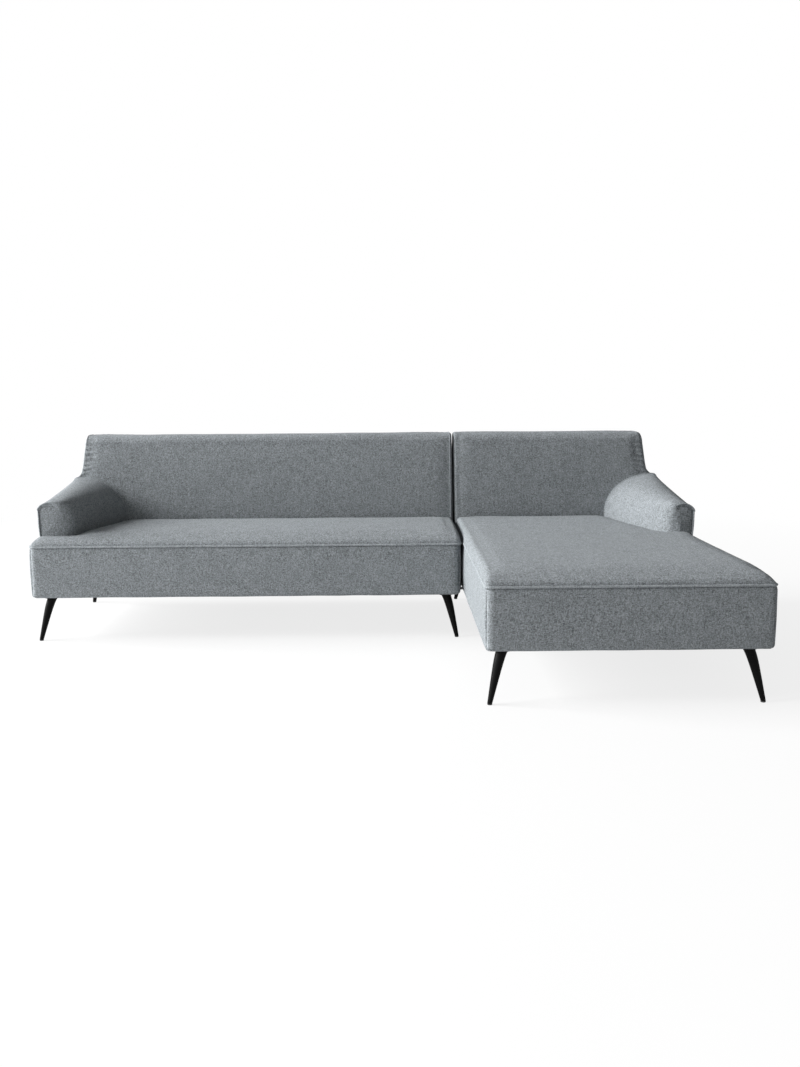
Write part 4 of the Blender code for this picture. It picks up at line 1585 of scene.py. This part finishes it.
    def welts(self) -> None:
        """Sews a fine welt round both ends of the back."""
        unit = self.unit
        inset = self.welt_inset
        for side in Side:
            pull = edge_pull(self.end_radius(side), inset)
            path = []
            for before_rear, level in BACK.section(unit.seat_foot, 0.01):
                if level < unit.seat_foot + 0.04 and before_rear > 0.1:
                    continue
                left, right = self.ends(level)
                x = left + inset if side is Side.LEFT else right - inset
                middle = (BACK.depth / 2, BACK.height - 0.2)
                toward = Vector((middle[0] - before_rear, middle[1] - level)).normalized() * pull * 0.85
                path.append((x, unit.rear - before_rear - toward.x, level + toward.y * 0.6))
            name = unit.node(f"back_welt_{side.name.lower()}")
            Piping(radius=0.0018).sew(name, path, unit.body, self.wardrobe)

    def outside(self) -> None:
        """Builds the outside back panel with its sewn edge."""
        unit = self.unit
        low, high = unit.box("outside_back")
        levels = (low.z, high.z)

        def place(across: float, up: float) -> Point:
            """Finds a point of the panel's outer face.

            Args:
                across: Share of the way from left to right.
                up: Share of the way from foot to top.

            Returns:
                The point.
            """
            level = blend(levels[0], levels[1], up)
            left, right = self.ends(level)
            x = blend(left + 0.001, right - 0.001, across)
            edge = min(x - left, right - x, level - levels[0], levels[1] - level)
            swell = 0.0035 * ease(edge / 0.07) + 0.0008 * ripple(x, level, 12.0, 0.14)
            return x, high.y - 0.003 + swell, level

        columns = int(unit.width / self.panel_spacing)
        bm = sheet_mesh(columns, int((levels[1] - levels[0]) / self.panel_spacing), place)
        thicken(bm, self.panel_thickness, lambda face: face.normal.y)
        piece = make_piece(bm, unit.node("outside_back_cover"), unit.body, "fabric", self.wardrobe)
        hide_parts(unit.node("outside_back"))
        top = levels[1] - 0.001
        left, right = self.ends(top)
        y = high.y - 0.001
        path = [(self.ends(z)[0] + 0.002, y, z) for z in np.linspace(levels[0] + 0.01, top, 30)]
        path += [(x, y, top) for x in np.linspace(left + 0.01, right - 0.01, 60)]
        path += [(self.ends(z)[1] - 0.002, y, z) for z in np.linspace(top, levels[0] + 0.01, 30)]
        Piping(radius=0.0024).sew(unit.node("outside_back_welt"), path, unit.body, self.wardrobe)


@dataclass(frozen=True)
class SculptedArm:
    """The arm's cover with its soft front, top seam and welts."""

    unit: Unit
    wardrobe: Wardrobe
    spacing: float = 0.006
    outer_round: float = 0.006
    inner_round: float = 0.040
    front_dome: float = 0.004
    groove: float = 0.0080
    skin_share: float = 0.88
    ridge_share: float = 0.42
    welt_inset: float = 0.009
    seam_end: float = 0.50
    hold_reach: float = 0.022

    @property
    def length(self) -> float:
        """Returns the distance of the arm's front from the unit's rear."""
        return self.unit.rear - self.unit.arm_front

    def back_contact(self, level: float) -> float:
        """Returns the Y of the back's front face at a level."""
        return self.unit.rear - BACK.front(level, self.unit.seat_foot) - 0.0004

    def ring_point(self, share: float, distance: float) -> tuple[float, float, float]:
        """Finds a point of the closed section.

        Args:
            share: Share of the way round, from the outer foot over the ridge and back under.
            distance: Distance of the section from the unit's rear.

        Returns:
            Distance inwards, level, and the share over the visible skin, over 1 underneath.
        """
        skin_share = self.skin_share
        skin = ARM.section(round(distance, 4), round(self.length, 4), round(self.unit.seat_foot, 4), 0.004)
        if share <= skin_share:
            at = share / skin_share * (len(skin) - 1)
            index = min(int(at), len(skin) - 2)
            first, second = skin[index], skin[index + 1]
            inward = blend(first[0], second[0], at - index)
            return inward, blend(first[1], second[1], at - index), share / skin_share
        under = (share - skin_share) / (1 - skin_share)
        return blend(skin[-1][0], skin[0][0], under), self.unit.seat_foot, 1 + under

    def place(self, along: float, round_share: float, closed: float = 0.0) -> Point:
        """Finds a point of the cover.

        Args:
            along: Share of the way from the arm's front to the back.
            round_share: Share of the way round the section.
            closed: How far an end ring has closed in, from 0 to 1.

        Returns:
            The point.
        """
        unit = self.unit
        front, length = unit.arm_front, self.length
        distance = length
        for _ in range(4):
            _, level, _ = self.ring_point(round_share, distance)
            end = self.back_contact(level)
            y = blend(front, end, along)
            distance = unit.rear - y
        inward, level, skin = self.ring_point(round_share, distance)
        middle = (ARM.thickness(distance) * 0.45, (unit.seat_foot + ARM.ridge(distance)) / 2)
        inner = ease((skin - self.ridge_share) / 0.25) * (1 - ease((skin - 0.97) / 0.1))
        radius = blend(self.outer_round, self.inner_round, inner)
        toward = Vector((middle[0] - inward, middle[1] - level))
        toward = toward.normalized() * edge_pull(radius, y - front)
        if skin > 1 or level < unit.seat_foot + 0.004:
            toward.y = 0.0
        wave = 0.0005 * ripple(inward, y, level, 0.09)
        inward, level = inward + toward.x + wave, level + toward.y + wave * (skin <= 1)
        if closed:
            closed = closed**1.6
            center = (ARM.thickness(distance) * 0.5, (unit.seat_foot + ARM.ridge(distance)) / 2)
            inward, level = blend(inward, center[0], closed), blend(level, center[1], closed)
            groove = self.groove * math.exp(-closed * 14)
            groove = groove * (1 - ease((skin - self.ridge_share) / 0.20)) * ease(closed / 0.03)
            bulge = self.front_dome * (1 - (1 - closed) ** 2)
            y = self.back_contact(level) if along > 0.5 else front + groove - bulge
        return unit.x_inward(inward), y, level

    def build(self) -> None:
        """Builds the cover, blows it up, and sews the welts and the top seam."""
        unit = self.unit
        reach = self.length - BACK.depth
        rings = [distance / reach for distance in stations(reach, self.inner_round, 0.0, self.spacing)]
        bm = closed_loft(rings, int(0.85 / self.spacing), 8, self.place)
        piece = make_piece(bm, unit.node("arm_cover"), unit.body, "fabric", self.wardrobe)
        Stuffing(mesh_size=0.014, cap=0.004).fill(piece, self.sewn)
        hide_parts(unit.node("arm_pad"))
        self.welts()
        LOG.info("%s arm", unit.name)

    def sewn(self, point: Vector) -> float:
        """Returns 1 at the arm's foot, its front and its joint with the back, easing to 0 between.

        Args:
            point: Point of the cover.

        Returns:
            How fast the point is held, from 0 to 1.
        """
        unit = self.unit
        from_back = self.back_contact(point.z) - point.y
        from_front = point.y - unit.arm_front
        from_foot = point.z - unit.seat_foot
        return 1 - ease(min(from_back, from_front + self.front_dome, from_foot) / self.hold_reach)

    def welts(self) -> None:
        """Sews the curved welt at the back, the upright welt at the outer front and the top seam."""
        unit = self.unit
        reach = self.length - BACK.depth
        along = 1 - self.welt_inset / reach
        rear = [self.place(along, float(share)) for share in np.linspace(0.10, 0.86, 90)]
        rear = [point for point in rear if point[2] > unit.seat_foot + 0.03]
        Piping(radius=0.0030).sew(unit.node("arm_rear_welt"), rear, unit.body, self.wardrobe)
        top = ARM.ridge(self.length) - ARM.ridge_radius - ARM.drop
        front = []
        for level in np.linspace(unit.seat_foot + 0.006, top, 30):
            inward = ARM.outer_face(level, unit.seat_foot, 1.0) + 0.0060
            front.append((unit.x_inward(inward), unit.arm_front - 0.0008, float(level)))
        seam = [self.place(0.004, float(share)) for share in np.linspace(0.20, self.seam_end, 40)]
        front += [(x, y - 0.0020, z + 0.0002) for x, y, z in seam if z > top + 0.003]
        x, y, z = front[-1]
        inwards = -unit.arm_side.value
        for step in range(1, 6):
            turn = math.radians(30 * step)
            hook = (x + inwards * 0.005 * math.sin(turn), y + 0.0012 * step, z + 0.004 * (1 - math.cos(turn)))
            front.append(hook)
        Piping(radius=0.0026).sew(unit.node("arm_front_welt"), front, unit.body, self.wardrobe)


@dataclass(frozen=True)
class SplayedLeg:
    """One curved, tapered metal leg with its screw plate."""

    unit: Unit
    corner: str
    wardrobe: Wardrobe
    top_radius: float = 0.0200
    tip_radius: float = 0.0085
    side_splay: float = 0.0445
    front_splay: float = 0.038
    bend: float = 0.13
    bend_reach: float = 0.13
    plate_radius: float = 0.036
    plate_thickness: float = 0.004
    plate_edge: float = 0.0008
    weld: float = 0.0035
    weld_fade: float = 45.0
    steps: int = 34

    def build(self) -> None:
        """Builds the leg over its node, with a weld where it meets the plate."""
        name = self.unit.node(f"{self.corner}_leg")
        low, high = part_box(name)
        glide_low, glide_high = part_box(self.unit.node(f"{self.corner}_glide"))
        tip = (glide_low + glide_high) / 2
        x_side = 1 if "right" in self.corner else -1
        y_side = -1 if "front" in self.corner else 1
        root = (tip.x - x_side * self.side_splay, tip.y - y_side * self.front_splay)
        under = high.z - self.plate_thickness
        foot = low.z
        rings: list[tuple[float, float, float]] = [
            (0.0, 0.004, high.z),
            (0.0, self.plate_radius - self.plate_edge, high.z),
            (0.0, self.plate_radius, high.z - self.plate_edge),
            (0.0, self.plate_radius, under + self.plate_edge),
            (0.0, self.plate_radius - self.plate_edge, under),
        ]
        for step in range(self.steps + 1):
            share = step / self.steps
            run = share * (1 - self.bend) + self.bend * (1 - math.exp(-share / self.bend_reach))
            weld = self.weld * math.exp(-share * self.weld_fade)
            radius = blend(self.top_radius, self.tip_radius, share) + weld
            rings.append((run, radius, blend(under, foot, share)))
        rings.append((1.0, self.tip_radius * 0.6, foot))

        def place(ring: float, round_share: float, closed: float) -> Point:
            """Finds a point of the leg.

            Args:
                ring: Number of the ring.
                round_share: Share of the way round it.
                closed: Not used, because the rings close the leg themselves.

            Returns:
                The point.
            """
            run, radius, level = rings[int(ring)]
            angle = 2 * math.pi * round_share
            x = root[0] + x_side * self.side_splay * run + radius * math.cos(angle)
            y = root[1] + y_side * self.front_splay * run + radius * math.sin(angle)
            return x, y, level

        bm = closed_loft(range(len(rings)), 40, 0, place)
        piece = make_piece(bm, name + "_metal", self.unit.body, "black_steel", self.wardrobe)
        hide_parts(name)


@dataclass(frozen=True)
class BaseCloth:
    """The thin cloth stapled under the base."""

    unit: Unit
    wardrobe: Wardrobe
    spacing: float = 0.012
    thickness: float = 0.0004

    def build(self) -> None:
        """Builds the cloth, pulled a little between its staples."""
        unit = self.unit
        low, high = unit.box("dust_cover")
        size = high - low

        def place(across: float, along: float) -> Point:
            """Finds a point of the cloth.

            Args:
                across: Share of the way from left to right.
                along: Share of the way from front to rear.

            Returns:
                The point.
            """
            x, y = blend(low.x, high.x, across), blend(low.y, high.y, along)
            edge = min(x - low.x, high.x - x, y - low.y, high.y - y)
            pucker = 0.0006 * math.sin(2 * math.pi * (x + y) / 0.06) * math.exp(-edge / 0.03)
            return x, y, low.z + 0.0008 - 0.0012 * ease(edge / 0.2) + pucker * 0.5

        bm = sheet_mesh(int(size.x / self.spacing), int(size.y / self.spacing), place)
        bmesh.ops.solidify(bm, geom=bm.faces[:], thickness=self.thickness)
        bmesh.ops.recalc_face_normals(bm, faces=bm.faces)
        piece = make_piece(bm, unit.node("base_cloth"), unit.body, "dust_cloth", self.wardrobe)
        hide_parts(unit.node("dust_cover"))
        rails = [unit.node(f"{side}_rail") for side in ("front", "rear", "left", "right")]
        LOG.info("%s base cloth", unit.name)


@dataclass(frozen=True)
class Studio:
    """Pale floor, soft lights and the camera at the photograph's viewing angle."""

    lens: float = 33.74
    location: Point = (0.11205, -4.02765, 1.03518)
    yaw: float = -0.0111
    pitch: float = -0.1437
    roll: float = -0.0065
    floor_size: float = 24.0
    floor_near: float = 1.2
    floor_far: float = 5.0
    floor_white_near: float = 0.80
    sky_light: float = 0.175

    def backdrop_material(self) -> bpy.types.Material:
        """Builds the floor's material: pale and shadowed, and close to white for the camera."""
        material = bpy.data.materials.new("pale_floor")
        material.use_nodes = True
        tree = material.node_tree
        graph = Graph(tree)
        shader = tree.nodes["Principled BSDF"]
        shader.inputs["Base Color"].default_value = (0.80, 0.80, 0.80, 1.0)
        shader.inputs["Roughness"].default_value = 0.9
        shader.inputs["Specular IOR Level"].default_value = 0.1
        white = graph.node("ShaderNodeEmission")
        white.inputs["Color"].default_value = (1.0, 1.0, 1.0, 1.0)
        white.inputs["Strength"].default_value = 1.0
        x, y, _ = graph.split(graph.node("ShaderNodeTexCoord").outputs["Object"])
        squares = [graph.math("MULTIPLY", part, part) for part in (x, y)]
        reach = graph.math("SQRT", graph.math("ADD", *squares))
        white_share = graph.spread(reach, self.floor_near, self.floor_far, self.floor_white_near, 1.0)
        share = graph.math("MULTIPLY", graph.seen(), white_share)
        mixer = graph.node("ShaderNodeMixShader")
        graph.put(mixer.inputs[0], share)
        graph.put(mixer.inputs[1], shader.outputs[0])
        graph.put(mixer.inputs[2], white.outputs[0])
        graph.put(tree.nodes["Material Output"].inputs["Surface"], mixer.outputs[0])
        return material

    def build_floor(self) -> None:
        """Lays the floor."""
        bm = bmesh.new()
        bmesh.ops.create_grid(bm, x_segments=1, y_segments=1, size=self.floor_size / 2)
        mesh = bpy.data.meshes.new("studio_floor")
        bm.to_mesh(mesh)
        bm.free()
        mesh.materials.append(self.backdrop_material())
        floor = add_object("studio_floor", mesh)

    def build_world(self) -> None:
        """Sets an even sky that is white where it is seen and softer where it lights."""
        world = bpy.data.worlds.new("studio")
        world.use_nodes = True
        bpy.context.scene.world = world
        graph = Graph(world.node_tree)
        background = world.node_tree.nodes["Background"]
        background.inputs["Color"].default_value = (1.0, 1.0, 1.0, 1.0)
        strength = graph.spread(graph.seen(), 0.0, 1.0, self.sky_light, 1.0)
        graph.put(background.inputs["Strength"], strength)

    def add_light(self, name: str, place: Point, target: Point, size: Pair, watts: float) -> None:
        """Hangs one soft box.

        Args:
            name: Name of the light.
            place: Where it hangs.
            target: What it points at.
            size: Width and height of its face.
            watts: Its power.
        """
        data = bpy.data.lights.new(name, "AREA")
        data.shape = "RECTANGLE"
        data.size, data.size_y = size
        data.energy = watts
        light = add_object(name, data)
        light.location = place
        light.rotation_euler = (Vector(target) - Vector(place)).to_track_quat("-Z", "Y").to_euler()

    def build_camera(self) -> None:
        """Sets the camera where the photograph was taken."""
        data = bpy.data.cameras.new("camera")
        data.lens = self.lens
        camera = add_object("camera", data)
        camera.matrix_world = (
            Matrix.Translation(self.location)
            @ Matrix.Rotation(self.yaw, 4, "Z")
            @ Matrix.Rotation(math.pi / 2 + self.pitch, 4, "X")
            @ Matrix.Rotation(self.roll, 4, "Z")
        )
        bpy.context.scene.camera = camera

    def build(self) -> None:
        """Builds floor, sky, lights and camera."""
        bpy.context.scene.view_settings.view_transform = "Standard"
        self.build_camera()
        self.build_floor()
        self.build_world()
        self.add_light("window", (-13.2, 0.2, 6.4), (0.0, 0.0, 0.4), (9.0, 7.0), 5700.0)
        self.add_light("fill", (-2.6, -4.8, 1.7), (-0.4, 0.0, 0.4), (3.0, 2.0), 56.0)
        LOG.info("studio")


def main() -> None:
    """Builds the studio and dresses both units."""
    logging.basicConfig(level=logging.INFO, format="%(name)s: %(message)s")
    Studio().build()
    wardrobe = Wardrobe()
    wardrobe.dress_nodes()
    units = (
        Unit("sofa", Side.LEFT, 0.028, flare=0.010, arm_shift=0.005),
        Unit("chaise", Side.RIGHT, 0.016, flare=0.007, arm_shift=-0.008),
    )
    for unit in units:
        SeatCushion(unit, wardrobe).build()
        BasePanels(unit, wardrobe).build()
        TightBack(unit, wardrobe, welted=unit.arm_side is Side.LEFT).build()
        SculptedArm(unit, wardrobe).build()
        for corner in ("front_left", "front_right", "rear_left", "rear_right"):
            SplayedLeg(unit, corner, wardrobe).build()
        BaseCloth(unit, wardrobe).build()


if __name__ == "__main__":
    main()
